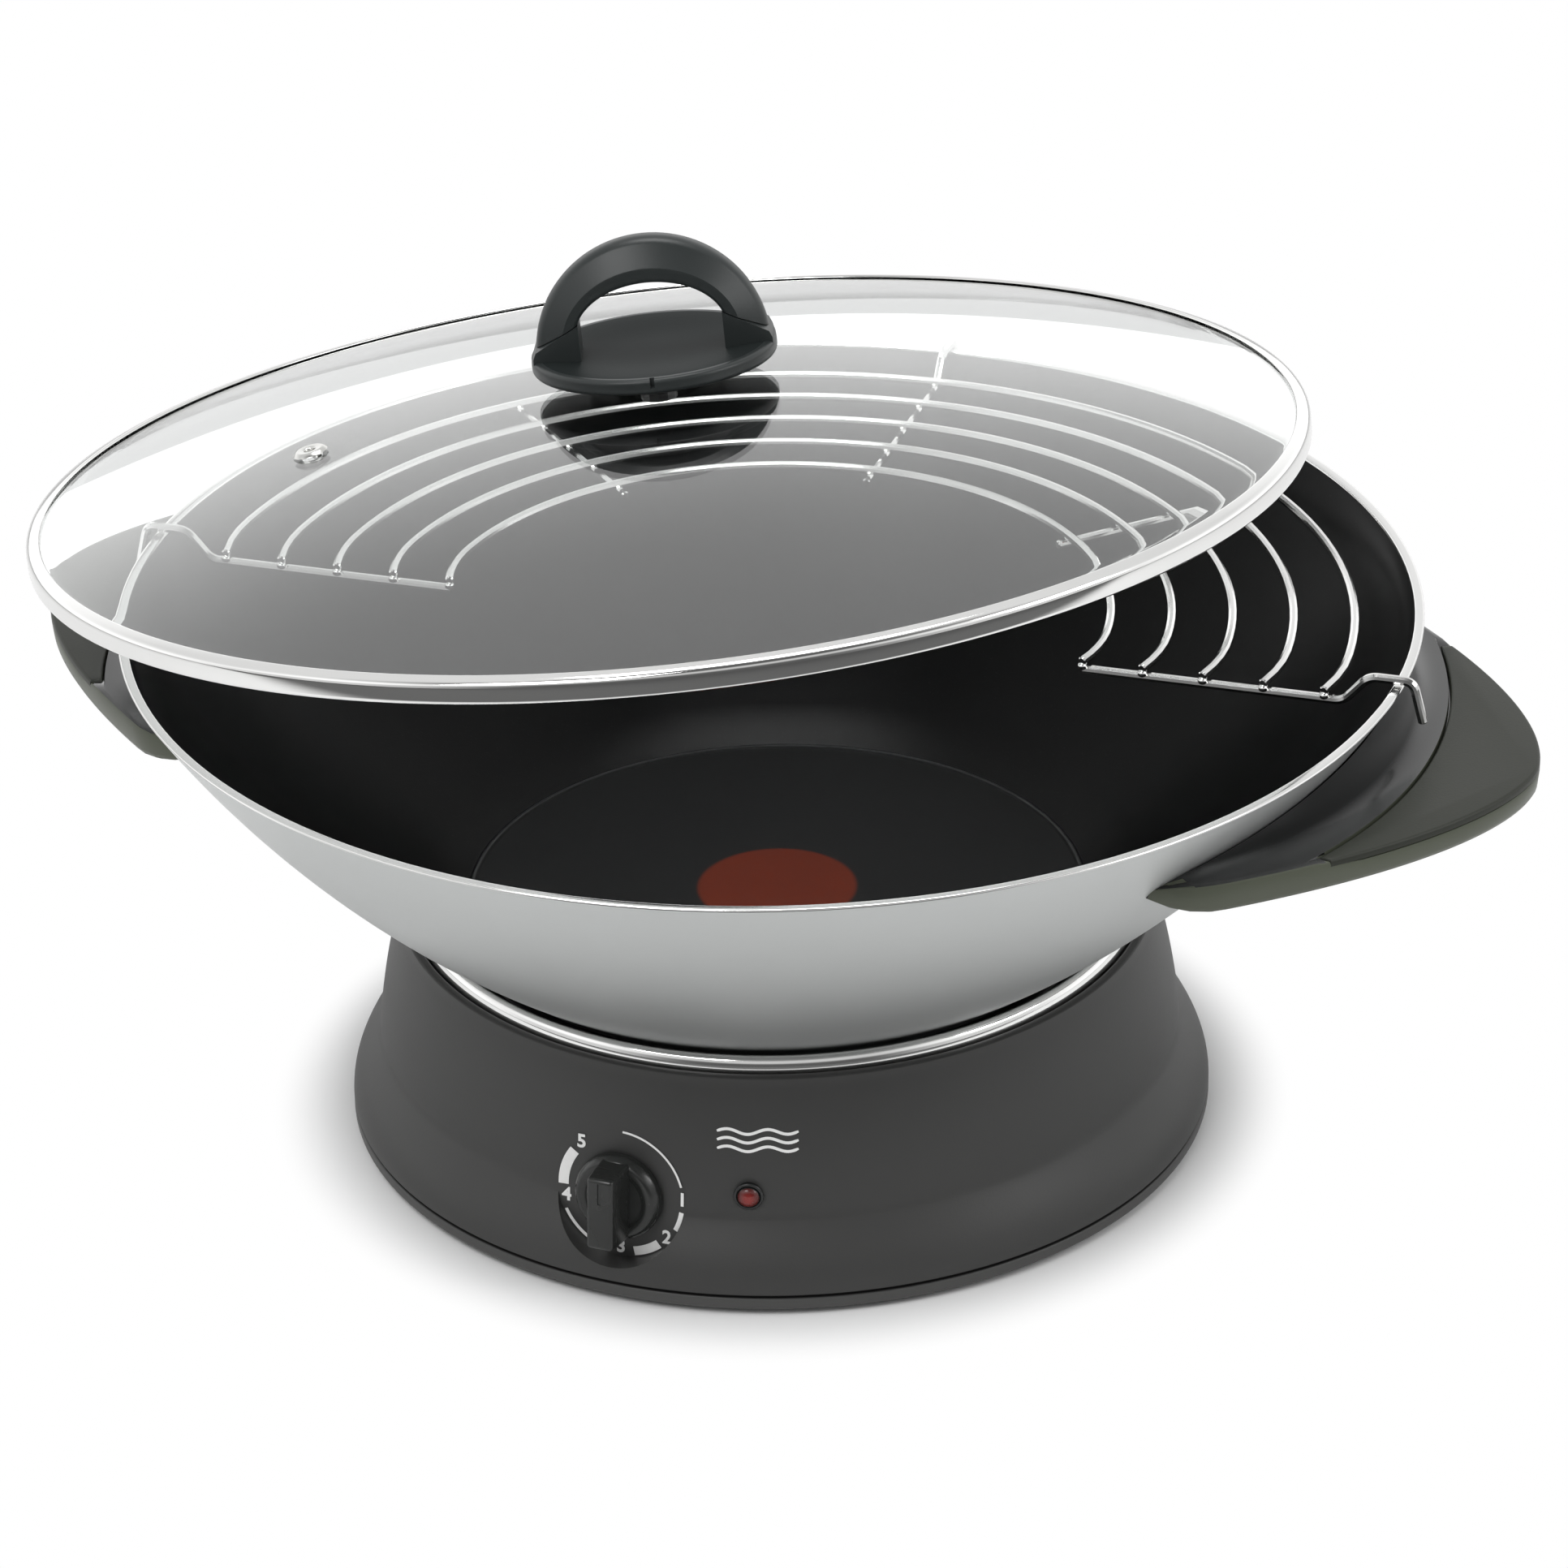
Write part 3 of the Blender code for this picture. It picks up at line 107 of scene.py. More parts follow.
BASE_TOP_R = 0.107
BASE_WAIST_R = 0.1143
BASE_WAIST_Z = 0.026
BASE_WALL = 0.0025
TOP_LIP = 0.0028
TOP_STEP = 0.0023
SEAT_THICK = 0.0025
FOOT_LIP_Z = 0.0064
DIAL_FLOOR = 0.0025
BOWL_BOTTOM = 0.0046
BOWL_FLOOR_R = 0.0873
BOWL_BULGE = 0.0065
INLET_OUT = 0.1155
INLET_Z = 0.036
INLET_WAY = (0.0316, 0.040, 0.0206)
LENS_TURN = radians(-94.8)
LENS_Z = 0.0325
SHAFT_HOLE_R = 0.0036
NUMBER_HEIGHT = 0.0055
MARK_TURN = radians(-93.5)
MARK_Z = 0.0480
MARK_WIDTH = 0.022
MARK_PITCH = 0.0024
MARK_WAVE = 0.0007
MARK_LINE = 0.0009
MARK_OUT, MARK_IN = 0.00006, -0.00004
PRINT_LOW, PRINT_HIGH = 0.00002, 0.00010
WIRE_END = 0.72  # share of the wire's thickness at its rounded tips
WIRE_TIP = 0.0004
BEND_SHARE = 0.48  # most of a side that one rounded corner may take

COLLAR_RISE = 0.010
COLLAR_SEAM_R = 0.188
COLLAR_DRAW_IN = 0.0035
HANDLE_REACH = 0.217
HANDLE_TIP = (0.1425, 0.0965)
HANDLE_POINTEDNESS = 1.70
HANDLE_TURNS = {"right": radians(-20), "left": radians(160)}

RACK_TURN = radians(-18.15)
RACK_FORWARD = 0.0075
RACK_INNER_R = 0.094
RACK_OUTER_R = 0.161
RACK_ARCS = 5
RACK_DROP = 0.008
RACK_OVERHANG = 0.0025
HOOK_RISE_RUN = 0.007
HOOK_OUT = 0.0025
HOOK_TAIL = 0.0115
HOOK_SPLAY = 0.003
HOOK_BEND = 0.0026

LID_R = 0.1759
LID_SPOT = Vector((-0.0271, 0.0, RIM_Z + 0.0363))
LID_TILT = radians(8.4)
LID_LOW_SIDE = radians(123.2)
LID_DOME = 0.030
BAND_THICK = 0.0008
BAND_GRIP = 0.0038
VENT_R = 0.0962
VENT_TURN = radians(190)
KNOB_TOP = 0.0090
GRIP_TOP = 0.0400
GRIP_THICK = 0.0118


CAMERA_SPOT = (0, -1.509, 0.8837)
CAMERA_TURNS = radians(0.098), radians(-27.50), radians(-1.241)
CAMERA_LENS = 139.0
FLOOR_DROP = 0.0003
SHADOW_FADE = 0.1200, 0.147  # the floor's shadow fades to plain white between these radii
ROOM_LEVEL = 0.50
LAMP_AIM = Vector((0, 0, 0.12))


# ------------------------------------------------------------------ sizes and colours
def length(name, description, default):
    return FloatProperty(
        name=name,
        description=description,
        default=default,
        min=0.0,
        subtype="DISTANCE",
        unit="LENGTH",
    )


def colour(name, description, default):
    return FloatVectorProperty(
        name=name, description=description, default=default, size=3, min=0.0, max=1.0, subtype="COLOR"
    )


class WokSizes(bpy.types.PropertyGroup):
    rim_radius: length("Rim radius", "Outer radius of the bowl's rim", high_of("wok_bowl").x)
    bowl_wall: length("Bowl wall", "Thickness of the bowl's wall", 0.0023)
    spot_radius: length("Heat spot radius", "Radius of the round spot on the bowl's floor", 0.0225)
    base_foot_radius: length("Base foot radius", "Radius of the base's foot", high_of("base_shell").x)
    ring_width: length("Trim ring width", "Width of the bright ring in the base's top", 0.0046)
    dial_radius: length("Dial radius", "Radius of the sunk dial face", 0.019)
    knob_radius: length("Dial knob radius", "Radius of the dial knob's skirt", 0.0125)
    lens_radius: length("Lens radius", "Radius of the pilot lens", 0.0041)
    wire: length("Rack wire", "Diameter of the rack's wire", 0.0026)
    glass: length("Glass thickness", "Thickness of the lid's glass", 0.004)
    disc_radius: length("Lid knob radius", "Radius of the lid knob's disc", 0.0335)
    turns: IntProperty(
        name="Roundness", description="Sides of the large turned pieces", default=192, min=48, max=256
    )


class WokColours(bpy.types.PropertyGroup):
    base: colour("Base", "Satin plastic of the base", (0.043, 0.043, 0.042))
    black: colour("Black plastic", "Glossy black plastic", (0.012, 0.013, 0.013))
    plate: colour("Handle plate", "Satin plastic on top of the handles", (0.020, 0.022, 0.016))
    knob: colour("Lid knob", "Satin plastic of the lid knob", (0.018, 0.022, 0.022))
    bowl: colour("Bowl outside", "Satin metal outside the bowl", (0.62, 0.635, 0.63))
    coating: colour("Non-stick", "Coating inside the bowl", (0.0035, 0.0036, 0.0036))
    spot: colour("Heat spot", "Round spot on the bowl's floor", (0.17, 0.026, 0.010))
    bright: colour("Bright metal", "Polished rings and wires", (0.82, 0.82, 0.81))
    lens: colour("Lens", "Pilot lens", (0.13, 0.008, 0.006))
    print: colour("Print", "Printed scale and mark", (0.86, 0.86, 0.85))


def sizes():
    return bpy.context.scene.wok_sizes


def colours():
    return bpy.context.scene.wok_colours


# ------------------------------------------------------------------ finishes
def both_ways(operation):
    """The two methods of Value that stand for an arithmetic sign: value first, and value last."""
    return (
        lambda value, other: value.maths(operation, value, other),
        lambda value, other: value.maths(operation, other, value),
    )


class Value:
    """A shader socket that can stand in sums: arithmetic on it adds Math nodes."""

    def __init__(self, finish, socket):
        self.finish = finish
        self.socket = socket

    def maths(self, operation, *terms):
        return self.finish.node("ShaderNodeMath", {"operation": operation}, dict(enumerate(terms)))

    __add__, __radd__ = both_ways("ADD")
    __sub__, __rsub__ = both_ways("SUBTRACT")
    __mul__, __rmul__ = both_ways("MULTIPLY")

    def root(self):
        return self.maths("SQRT", self)

    def between(self, low, high):
        """0 below low and 1 above high, eased between them."""
        settings = {"interpolation_type": "SMOOTHSTEP"}
        sockets = {0: self, 1: low, 2: high, 3: 0.0, 4: 1.0}
        return self.finish.node("ShaderNodeMapRange", settings, sockets)


class Nodes:
    """Adds nodes to a tree and hands their outputs back as values."""

    def __init__(self, tree):
        self.tree = tree

    def node(self, kind, settings=None, sockets=None, out=0):
        """Adds a node, sets it up, feeds its sockets and gives one of its outputs."""
        made = self.tree.nodes.new(kind)
        for key, setting in (settings or {}).items():
            setattr(made, key, setting)
        for key, value in (sockets or {}).items():
            self.feed(made.inputs[key], value)
        return Value(self, made.outputs[out])

    def feed(self, socket, value):
        if isinstance(value, Value):
            self.tree.links.new(value.socket, socket)
        elif socket.type == "RGBA" and len(value) == 3:
            socket.default_value = (*value, 1.0)
        else:
            socket.default_value = value

    def split(self, vector):
        made = self.tree.nodes.new("ShaderNodeSeparateXYZ")
        self.feed(made.inputs[0], vector)
        return [Value(self, socket) for socket in made.outputs]

    def join(self, x, y, z):
        return self.node("ShaderNodeCombineXYZ", {}, {0: x, 1: y, 2: z})

    def ray(self, kind):
        """1 on the kind of ray that is named, else 0."""
        return self.node("ShaderNodeLightPath", out=f"Is {kind} Ray")

    def show(self, output, shader):
        self.tree.links.new(shader.socket, output.inputs[0])

    def mix(self, factor, first, second):
        return self.node("ShaderNodeMixShader", {}, {0: factor, 1: first, 2: second})


class Finish(Nodes):
    """A node material in the making, round its Principled shader."""

    def __init__(self, name):
        self.material = bpy.data.materials.new(name)
        self.material.use_nodes = True
        super().__init__(self.material.node_tree)
        self.shader = self.tree.nodes["Principled BSDF"]

    def set(self, **looks):
        """Feeds the Principled shader: base_color, roughness, metallic, coat_weight and so on."""
        for key, value in looks.items():
            name = key.replace("_", " ").title().replace("Ior", "IOR")
            self.feed(self.shader.inputs[name], value)
        return self

    def place(self, matrix=None):
        """Object coordinates, or those of a frame that stands elsewhere or leans."""
        here = self.node("ShaderNodeTexCoord", out="Object")
        if matrix is None:
            return here
        settings = {"vector_type": "TEXTURE"}
        sockets = {0: here, 1: matrix.to_translation(), 2: matrix.to_euler()}
        return self.node("ShaderNodeMapping", settings, sockets)

    def noise(self, vector, scale, detail=2.0, roughness=0.5):
        sockets = {"Vector": vector, "Scale": scale, "Detail": detail, "Roughness": roughness}
        return self.node("ShaderNodeTexNoise", {}, sockets)

    def blend(self, factor, first, second):
        sockets = {0: factor, 6: first, 7: second}
        return self.node("ShaderNodeMix", {"data_type": "RGBA"}, sockets, out=2)

    def mottled(self, factor, shade, dark, light):
        """The shade, from dark times to light times as strong."""
        return self.blend(factor, shaded(shade, dark), shaded(shade, light))

    def bump(self, height, strength, distance):
        """Turns a height between 0 and 1 into the shader's normal; distance is the height of 1."""
        sockets = {"Strength": strength, "Distance": distance, "Height": height}
        return self.set(normal=self.node("ShaderNodeBump", {}, sockets))

    def turned_lines(self, vector, scale):
        """Fine lines left by a tool that ran round the Z axis, the distance from it and the height."""
        x, y, z = self.split(vector)
        radius = (x * x + y * y).root()
        along = self.join(radius * scale, z * scale, x * 6.0)
        return self.noise(along, 1.0, 3.0, 0.7), radius, z


def shaded(shade, factor):
    return tuple(channel * factor for channel in shade)


def grained(name, shade, fine, slow, spread, levels, relief, matrix=None, **looks):
    """A finish with a fine grain and slow patches.

    fine, slow: scale, detail and roughness of the two noises
    spread: how dark and how light the patches are
    levels: the roughness, then what the patches and the grain add to it
    relief: strength and depth of the grain
    """
    look = Finish(name)
    where = look.place(matrix)
    grain = look.noise(where, *fine)
    patches = look.noise(where, *slow)
    level, from_patches, from_grain = levels
    look.set(
        base_color=look.mottled(patches, shade, *spread),
        roughness=level + patches * from_patches + grain * from_grain,
        **looks,
    )
    look.bump(grain, *relief)
    return look.material


def satin_plastic(name, shade, roughness=0.42, grain=1400.0, depth=0.00006, matrix=None, gleam=0.3):
    """Moulded plastic with a fine spark-eroded grain and slight rubbed patches."""
    noises = (grain, 3.0, 0.6), (22.0, 3.0, 0.55)
    levels = (roughness - 0.05, 0.08, 0.03)
    spread, relief = (0.92, 1.08), (0.35, depth)
    return grained(name, shade, *noises, spread, levels, relief, matrix, specular_ior_level=gleam)


def gloss_plastic(name, shade, roughness=0.16, matrix=None):
    """Glossy moulded plastic with faint wipe marks and a slow ripple."""
    look = Finish(name)
    where = look.place(matrix)
    x, y, z = look.split(where)
    wipes = look.noise(look.join(x * 40.0, y * 40.0, z * 700.0), 1.0, 4.0, 0.7)
    ripple = look.noise(where, 60.0, 2.0, 0.5)
    look.set(
        base_color=look.mottled(ripple, shade, 0.9, 1.15),
        roughness=roughness + wipes.between(0.45, 0.75) * 0.10,
    )
    look.bump(ripple, 0.25, 0.00005)
    return look.material


def bright_metal(name, shade, roughness=0.06, scale=2600.0, matrix=None):
    """Polished metal with hair-fine lines and a few duller patches."""
    look = Finish(name)
    lines, _, _ = look.turned_lines(look.place(matrix), scale)
    patches = look.noise(look.place(matrix), 35.0, 3.0, 0.6)
    look.set(
        base_color=look.mottled(patches, shade, 0.95, 1.03),
        metallic=1.0,
        roughness=roughness + lines * 0.06 + patches.between(0.5, 0.8) * 0.05,
    )
    look.bump(lines, 0.12, 0.00002)
    return look.material


def dull_metal(name, shade, roughness=0.38):
    """Cast, rolled or plated metal that isn't polished."""
    noises = (900.0, 4.0, 0.65), (45.0, 4.0, 0.6)
    levels = (roughness - 0.08, 0.16, 0.05)
    return grained(name, shade, *noises, (0.8, 1.1), levels, (0.3, 0.00008), metallic=1.0)


def rubber(name):
    """Black rubber with dust in its grain."""
    look = Finish(name)
    shade = (0.014, 0.014, 0.014)
    where = look.place()
    grain_height = look.noise(where, 800.0, 3.0, 0.6)
    dust = look.noise(where, 70.0, 4.0, 0.6)
    look.set(
        base_color=look.blend(dust.between(0.45, 0.8), shade, shaded(shade, 2.2)),
        roughness=0.78 + grain_height * 0.1,
    )
    look.bump(grain_height, 0.4, 0.0001)
    return look.material


def printed(name, shade):
    """Pad-printed ink: matt, with slightly uneven cover."""
    look = Finish(name)
    cover = look.noise(look.place(), 900.0, 3.0, 0.6)
    look.set(base_color=look.blend(cover, shaded(shade, 0.93), shade), roughness=0.5 + cover * 0.1)
    return look.material


# ------------------------------------------------------------------ making shapes
def mesh_of(name, bm):
    """Turns a bmesh into a mesh; the bmesh is used up."""
    mesh = bpy.data.meshes.new(name)
    bm.to_mesh(mesh)
    bm.free()
    return mesh


def linked(name, data):
    """A new object in the scene, with its mesh, curve, lamp or camera."""
    shape = bpy.data.objects.new(name, data)
    bpy.context.scene.collection.objects.link(shape)
    return shape


def discard(shape):
    """Removes an object and its mesh or curve."""
    bpy.data.batch_remove([shape, shape.data])


def finished_curve(name, curve):
    """The mesh that a curve makes, as a bmesh; the curve is used up."""
    shape = linked(name, curve)
    graph = bpy.context.evaluated_depsgraph_get()
    bm = as_bmesh(bpy.data.meshes.new_from_object(shape.evaluated_get(graph)))
    discard(shape)
    return bm


def settle(name, bm, body, finishes, stands_for=(), crease=34):
    """Turns a bmesh into a finished piece that rides on a body and stands for CAD nodes."""
    bmesh.ops.remove_doubles(bm, verts=bm.verts, dist=TINY)
    bmesh.ops.recalc_face_normals(bm, faces=bm.faces)
    return settle_mesh(name, mesh_of(name, bm), body, finishes, stands_for, crease)


def settle_mesh(name, mesh, body, finishes, stands_for=(), crease=34):
    mesh.name = name
    piece = linked(name, mesh)
    picked = [face.material_index for face in mesh.polygons]
    mesh.materials.clear()
    for finish in finishes:
        mesh.materials.append(finish)
    if len(finishes) > 1:
        mesh.polygons.foreach_set("material_index", picked)
    mesh.shade_smooth()
    mesh.set_sharp_from_angle(angle=radians(crease))
    if stands_for:
        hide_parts(*stands_for)
    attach(piece, body)
    return piece


def dress(finish, *nodes):
    """Gives CAD nodes that stay visible a finish of their own."""
    for node in nodes:
        mesh = frame["nodes"][node].data
        mesh.materials.clear()
        mesh.materials.append(finish)


def rounded(before, here, after, ease, steps):
    """Points of a smooth bend round the corner `here`, starting `ease` away from it."""
    back, on = before - here, after - here
    start = here + back.normalized() * min(ease, back.length * BEND_SHARE)
    end = here + on.normalized() * min(ease, on.length * BEND_SHARE)
    shares = [k / steps for k in range(steps + 1)]
    return [start * (1 - t) ** 2 + here * (2 * t * (1 - t)) + end * t * t for t in shares]


def eased(corners, steps=4):
    """An outline of (a, b) points; an (a, b, ease) is a corner rounded off from `ease` before it."""
    points = []
    last = len(corners) - 1
    for i, (a, b, *ease) in enumerate(corners):
        if not ease or i in (0, last):
            points.append((a, b))
        else:
            before, here, after = (Vector(corner[:2]) for corner in corners[i - 1 : i + 2])
            points += [tuple(spot) for spot in rounded(before, here, after, *ease, steps)]
    return points


def moved(bm, matrix):
    """Puts a bmesh where the matrix says, and gives it back."""
    bmesh.ops.transform(bm, matrix=matrix, verts=bm.verts)
    return bm


def turned(outline, steps, matrix=None):
    """A bmesh of the (radius, height) outline spun round Z; ends on the axis close by themselves."""
    bm = bmesh.new()
    verts = [bm.verts.new((r, 0, z)) for r, z in outline]
    edges = [bm.edges.new(pair) for pair in zip(verts, verts[1:])]
    if outline[0][0] > 0:
        edges.append(bm.edges.new((verts[-1], verts[0])))
    bmesh.ops.spin(
        bm, geom=verts + edges, axis=(0, 0, 1), cent=(0, 0, 0), angle=tau, steps=steps, use_merge=True
    )
    bmesh.ops.remove_doubles(bm, verts=bm.verts, dist=1e-7)
    bmesh.ops.recalc_face_normals(bm, faces=bm.faces)
    return moved(bm, matrix) if matrix else bm


def drum(radius, low, high, steps=48, matrix=None):
    """A plain cylinder round the Z axis."""
    return turned([(0, low), (radius, low), (radius, high), (0, high)], steps, matrix)


def slab(outline, low, high, along="Z"):
    """A flat outline pushed out from low to high, along Z or along Y."""
    bm = bmesh.new()
    spots = [(a, b, low) if along == "Z" else (a, low, b) for a, b in outline]
    face = bm.faces.new([bm.verts.new(spot) for spot in spots])
    grown = bmesh.ops.extrude_face_region(bm, geom=[face])["geom"]
    shift = (0, 0, high - low) if along == "Z" else (0, high - low, 0)
    raised = [item for item in grown if isinstance(item, bmesh.types.BMVert)]
    bmesh.ops.translate(bm, vec=shift, verts=raised)
    bmesh.ops.recalc_face_normals(bm, faces=bm.faces)
    return bm


def brick(size, centre=(0, 0, 0)):
    """A box of that size round its centre."""
    bm = bmesh.new()
    bmesh.ops.create_cube(bm, size=1.0)
    bmesh.ops.scale(bm, vec=size, verts=bm.verts)
    bmesh.ops.translate(bm, vec=centre, verts=bm.verts)
    return bm


def soften(bm, edges, offset, segments=3):
    """Rounds the edges off."""
    bmesh.ops.bevel(
        bm, geom=edges, offset=offset, affect="EDGES", segments=segments, profile=0.5, material=-1
    )
    return bm


def loop_through(bm, spots):
    """The edges of a closed loop through the spots."""
    verts = [bm.verts.new(spot) for spot in spots]
    return [bm.edges.new(pair) for pair in zip(verts, verts[1:] + verts[:1])]


def join_loops(bm, loops):
    """Skins edge loops one after the other and closes both ends."""
    for near, far in zip(loops, loops[1:]):
        bmesh.ops.bridge_loops(bm, edges=near + far)
    bmesh.ops.holes_fill(bm, edges=loops[0] + loops[-1], sides=0)


def upright_edges(bm):
    return [e for e in bm.edges if abs((e.verts[0].co - e.verts[1].co).normalized().z) > 0.99]


def carve(bm, *work):
    """The solid after each (operation, tool) in turn, as a mesh; the tools are used up."""
    block = linked("carving", mesh_of("carving", bm))
    tools = []
    for operation, tool in work:
        cutter = linked("tool", mesh_of("tool", tool))
        tools.append(cutter)
        modifier = block.modifiers.new("work", "BOOLEAN")
        modifier.operation = operation
        modifier.solver = "EXACT"
        modifier.object = cutter
    graph = bpy.context.evaluated_depsgraph_get()
    made = bpy.data.meshes.new_from_object(block.evaluated_get(graph))
    for spent in [block, *tools]:
        discard(spent)
    return made


def as_bmesh(mesh):
    bm = bmesh.new()
    bm.from_mesh(mesh)
    bpy.data.meshes.remove(mesh)
    return bm


def wire(points, diameter, sides=3):
    """A bmesh of a round wire along the points, with closed ends."""
    curve = bpy.data.curves.new("wire", "CURVE")
    curve.dimensions = "3D"
    curve.bevel_depth = diameter / 2
    curve.bevel_resolution = sides
    curve.use_fill_caps = True
    spline = curve.splines.new("POLY")
    spline.points.add(len(points) - 1)
    for spot, point in zip(spline.points, points):
        spot.co = (*point, 1.0)
    for end in (0, -1):
        spline.points[end].radius = WIRE_END
    bm = finished_curve("wire", curve)
    bmesh.ops.remove_doubles(bm, verts=bm.verts, dist=1e-7)
    return bm


def add_to(bm, other):
    """Copies another bmesh into this one."""
    mesh = mesh_of("part", other)
    bm.from_mesh(mesh)
    bpy.data.meshes.remove(mesh)


def smooth_path(corners, ease):
    """A path in space whose inner corners are rounded off, with a little tip at both ends."""
    corners = [Vector(c) for c in corners]
    path = [corners[0]]
    for before, here, after in zip(corners, corners[1:], corners[2:]):
        path += rounded(before, here, after, ease, 8)
    path.append(corners[-1])
    tip = path[-1] + (path[-1] - path[-2]).normalized() * WIRE_TIP
    first = path[0] + (path[0] - path[1]).normalized() * WIRE_TIP
    return [first, *path, tip]


# ------------------------------------------------------------------ base
def base_side(steps):
    """The side from the top edge to the foot: a gentle flare, then a rounder skirt."""
    foot_r = sizes().base_foot_radius
    top_z = BASE_TOP_Z - TOP_LIP / 2
    side = []
    for i in range(steps + 1):
        t = i / steps
        widen = (BASE_WAIST_R - BASE_TOP_R) * (1.5 * t - 0.5 * t * t)
        side.append((BASE_TOP_R + widen, top_z + (BASE_WAIST_Z - top_z) * t))
    for i in range(1, steps + 1):
        t = i / steps
        widen = (foot_r - BASE_WAIST_R) * sin(t * pi / 2) ** 1.15
        side.append((BASE_WAIST_R + widen, BASE_WAIST_Z - (BASE_WAIST_Z - FOOT_LIP_Z) * t))
    return side


def side_radius(height):
    side = base_side(40)
    for (r_up, z_up), (r_low, z_low) in zip(side, side[1:]):
        if z_low <= height <= z_up:
            return r_low + (r_up - r_low) * (height - z_low) / (z_up - z_low)
    return BASE_TOP_R


def dial_place():
    """A matrix whose Z leaves the dial face and whose Y points up it."""
    out = -Vector(DIAL_JOINT["axis"]).normalized()
    across = Vector((0, 0, 1)).cross(out).normalized()
    up = out.cross(across)
    spot = Matrix((across, up, out)).transposed().to_4x4()
    return Matrix.Translation(Vector(DIAL_JOINT["pos_m"])) @ spot


def side_place(azimuth, height):
    """A matrix on the base's side whose Z leaves it level and whose Y points up."""
    out = Vector((cos(azimuth), sin(azimuth), 0))
    across = Vector((0, 0, 1)).cross(out)
    spot = Matrix((across, Vector((0, 0, 1)), out)).transposed().to_4x4()
    return Matrix.Translation(out * side_radius(height) + Vector((0, 0, height))) @ spot


class WOK_OT_base_shell(bpy.types.Operator):
    """Flared housing with the sunk dial face and the way for the inlet"""

    bl_idname = "wok.base_shell"
    bl_label = "Base Shell"

    def execute(self, context):
        steps = sizes().turns
        foot_r = sizes().base_foot_radius
        ring_out = BASE_TOP_R - TOP_LIP - GAP
        ring_in = ring_out - sizes().ring_width
        seat_z = BASE_TOP_Z - TOP_STEP
        seat_under = seat_z - SEAT_THICK
        side = base_side(18)
        lip = [
            (foot_r - 0.0010, FOOT_LIP_Z - 0.0003), (foot_r - 0.0010, FOOT_LIP_Z - 0.0009),
            (foot_r, FOOT_LIP_Z - 0.0012, 0.0005), (foot_r, SHELL_LOW_Z + 0.0007, 0.0008),
            (foot_r - 0.0010, SHELL_LOW_Z, 0.0004), (foot_r - BASE_WALL, SHELL_LOW_Z, 0.0004),
        ]
        inner = [(r - BASE_WALL, z) for r, z in reversed(side) if 0.006 < z < seat_under - 0.003]
        seat_r = ring_out + GAP
        top = [
            (BASE_TOP_R - BASE_WALL, seat_under), (ring_in - 0.001, seat_under, 0.0004),
            (ring_in - 0.001, seat_z, 0.0004), (seat_r, seat_z), (seat_r, BASE_TOP_Z, 0.0008),
            (BASE_TOP_R, BASE_TOP_Z, 0.0012), (side[0][0], side[0][1]),
        ]
        shell = turned(eased(side + lip + inner + top), steps)
        dial = dial_place()
        radius = sizes().dial_radius
        boss = drum(radius + BASE_WALL, -DIAL_FLOOR, 0.030, 64, dial)
        envelope = turned(
            [(0, BASE_TOP_Z)] + [(r - BASE_WALL / 2, z) for r, z in side] + [(0, side[-1][1])], steps
        )
        boss = as_bmesh(carve(boss, ("INTERSECT", envelope)))
        hole, deep, high = SHAFT_HOLE_R, -0.01, 0.035
        sink = [(0, deep), (hole, deep), (hole, 0), (radius, 0), (radius, high), (0, high)]
        sink = turned(sink, 96, dial)
        inlet = brick(INLET_WAY, (0, INLET_OUT, INLET_Z))
        lens_way = drum(sizes().lens_radius - 0.0004, -0.02, 0.01, 40, side_place(LENS_TURN, LENS_Z))
        ways = [("DIFFERENCE", way) for way in (sink, inlet, lens_way)]
        mesh = carve(shell, ("UNION", boss), *ways)
        plastic = self.plastic()
        settle_mesh("base_housing", mesh, "base", [plastic], ["base_shell"], crease=28)
        return {"FINISHED"}

    def plastic(self):
        """Satin plastic, with painted shade in the groove above the foot and painted light on the foot's
        lip.
        """
        look = Finish("base satin plastic")
        shade = colours().base
        where = look.place()
        _, _, z = look.split(where)
        grain = look.noise(where, 1500.0, 3.0, 0.6)
        patches = look.noise(where, 18.0, 4.0, 0.55)
        # Painted shade: the groove above the foot is painted nearly black, a fifth of the plastic's
        # shade.
        low_edge = z.between(FOOT_LIP_Z - 0.0014, FOOT_LIP_Z - 0.0010)
        groove = low_edge - z.between(FOOT_LIP_Z - 0.0004, FOOT_LIP_Z)
        # Painted light: the foot's lip below the groove is painted half again lighter than the body.
        lip = 1.0 - z.between(FOOT_LIP_Z - 0.0016, FOOT_LIP_Z - 0.0010)
        body = look.mottled(patches, shade, 0.93, 1.07)
        body = look.blend(lip, body, shaded(shade, 1.5))
        look.set(
            base_color=look.blend(groove, body, shaded(shade, 0.2)),
            roughness=0.38 + patches * 0.07 + grain * 0.04,
            specular_ior_level=0.35,
        )
        look.bump(grain, 0.35, 0.00006)
        return look.material


class WOK_OT_trim_ring(bpy.types.Operator):
    """Polished ring in the base's top edge"""

    bl_idname = "wok.trim_ring"
    bl_label = "Trim Ring"

    def execute(self, context):
        low = low_of("trim_ring").z
        high = high_of("trim_ring").z
        outer = BASE_TOP_R - TOP_LIP - GAP
        inner = outer - sizes().ring_width
        centre = (outer + inner) / 2
        crown_low = low + 0.002
        crown = []
        for i in range(17):
            turn = pi * i / 16
            half = sizes().ring_width / 2
            crown.append((centre + cos(turn) * half, crown_low + sin(turn) * (high - crown_low)))
        outline = [(inner, low), (outer, low)] + crown
        finish = bright_metal("trim ring polish", colours().bright, 0.05)
        settle("trim_ring_fine", turned(outline, sizes().turns), "base", [finish], ["trim_ring"])
        return {"FINISHED"}


